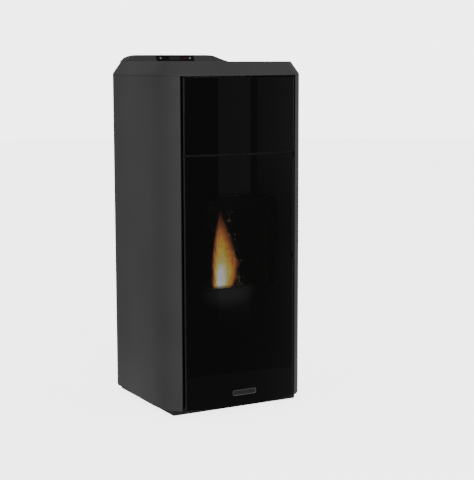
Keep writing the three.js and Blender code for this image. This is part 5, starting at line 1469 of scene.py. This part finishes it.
gas = burning_gas("burning wood gas")
for number, turn in enumerate(FLAME_TURNS, 1):
    bpy.ops.object.select_all(action="DESELECT")
    bpy.ops.mesh.primitive_grid_add(x_subdivisions=FLAME_COLUMNS, y_subdivisions=FLAME_ROWS, size=1,
                                    rotation=(math.pi / 2, 0, 0))
    sheet = newest("flame_sheet_%d" % number)
    settle(sheet)
    for vertex in sheet.data.vertices:
        share = vertex.co.z + 0.5
        reach = between(FLAME_RIGHT if vertex.co.x > 0 else FLAME_LEFT, share)
        vertex.co.x *= 2 * reach * mm
        vertex.co.z = FLAME_FOOT + FLAME_HEIGHT * share + FLAME_SLOPE * vertex.co.x * (1 - share)
    sheet.rotation_euler.z = turn
    sheet.location = (FLAME_PLACE[0], FLAME_PLACE[1], 0)
    settle(sheet)
    shade(sheet, 80)
    finish_piece(sheet, gas, "pot", "red_lens")

bpy.ops.object.select_all(action="DESELECT")
bpy.ops.mesh.primitive_ico_sphere_add(subdivisions=1, radius=SPARK_RADIUS)
spark = bpy.context.object
sparks = []
right = Vector((math.cos(FLAME_TURNS[0]), math.sin(FLAME_TURNS[0]), 0))
for _ in range(SPARK_COUNT):
    share = chance.random()
    reach = between(SPARK_PATH, share) * mm + chance.gauss(0, SPARK_SPREAD)
    place = Vector((FLAME_PLACE[0], FLAME_PLACE[1], FLAME_FOOT + FLAME_HEIGHT * share)) + right * reach
    sparks.append(placed_copy(spark, "spark", place))
bpy.data.objects.remove(spark)
spark_cloud = join_all(sparks)
spark_cloud.name = "sparks"
finish_piece(spark_cloud, glowing("glowing char dust", SPARK_DARK, SPARK_BRIGHT, SPARK_GLOW, SPARK_PATCH),
             "pot", "red_lens")

pellets = []
for _ in range(PELLET_COUNT):
    length = chance.uniform(*PELLET_LENGTHS)
    pellet = add_rod("pellet", (0, 0, 0), PELLET_RADIUS, length, 8, "z")
    pellet.rotation_euler = (math.radians(90 + chance.uniform(-PELLET_TILT, PELLET_TILT)), 0,
                             chance.uniform(0, math.pi))
    radius = BED_RADIUS * math.sqrt(chance.random())
    bearing = chance.uniform(0, 2 * math.pi)
    pellet.location = (FLAME_PLACE[0] + radius * math.cos(bearing),
                       FLAME_PLACE[1] + radius * math.sin(bearing),
                       BED_LOW + BED_DEPTH * chance.random())
    settle(pellet)
    pellets.append(pellet)
ember_bed = join_all(pellets)
ember_bed.name = "glowing_pellets"
finish_piece(ember_bed, glowing("glowing wood char", EMBER_DARK, EMBER_BRIGHT, EMBER_GLOW, EMBER_PATCH),
             "pot", "cast_iron")


# Hopper, feed and fans: galvanised sheet for the hopper, its grid and the ducts, steel for the screw,
# black motors with a laminated core, and a fibreglass control board.
CORE_DARK = "#161617"
CORE_BRIGHT = "#4b4c4e"
BOARD_GREEN = "#0d3a20"
BOARD_GREEN_LIGHT = "#114626"
TRACK_GREEN = "#2f7a4c"
TRACK_LENGTH = 9 * mm
TRACK_PITCH = 3 * mm
TRACK_WIDTH = 0.4 * mm


def laminated_motor(name):
    """A shaded-pole motor: painted steel laminations that show as fine lines along the core."""
    material, tree, shader, place = new_material(name)
    sheets = add_node(tree, "ShaderNodeTexWave", {"Scale": 160.0, "bands_direction": "Y"}, {"Vector": place})
    fill_in(tree, shader, {
        "Base Color": tone_ramp(tree, sheets.outputs["Fac"], (0.0, linear(CORE_DARK)),
                                (1.0, linear(CORE_BRIGHT))),
        "Metallic": 0.6,
        "Roughness": 0.5})
    return material


def printed_board(name):
    """A printed circuit board: green lacquer with paler copper tracks below it."""
    material, tree, shader, place = new_material(name)
    tracks = add_node(tree, "ShaderNodeTexBrick", {
        "Scale": 1.0, "Brick Width": TRACK_LENGTH, "Row Height": TRACK_PITCH, "Mortar Size": TRACK_WIDTH,
        "Color1": linear(BOARD_GREEN), "Color2": linear(BOARD_GREEN_LIGHT), "Mortar": linear(TRACK_GREEN)},
        {"Vector": place})
    fill_in(tree, shader, {"Base Color": tracks.outputs["Color"], "Roughness": 0.35})
    return material


motor_core = laminated_motor("laminated motor core")
board_lacquer = printed_board("green lacquered board")
# The base plate takes the matt heatproof black in place of galvanised sheet, so that its edge at the bottom
# corner shows dark: painted shade.
for node, material in (
        ("base_plate", heatproof_black), ("hopper", galvanised), ("hopper_grid", bright_steel),
        ("auger_tube", galvanised), ("auger_screw", bright_steel), ("auger_gearmotor", motor_core),
        ("pellet_chute", galvanised), ("smoke_fan_housing", heatproof_black),
        ("smoke_fan_impeller", bright_steel), ("smoke_fan_motor", motor_core),
        ("room_fan_housing", galvanised), ("room_fan_wheel", bright_steel), ("room_fan_motor", motor_core),
        ("control_board", board_lacquer)):
    nodes[node].data.materials.clear()
    nodes[node].data.materials.append(material)
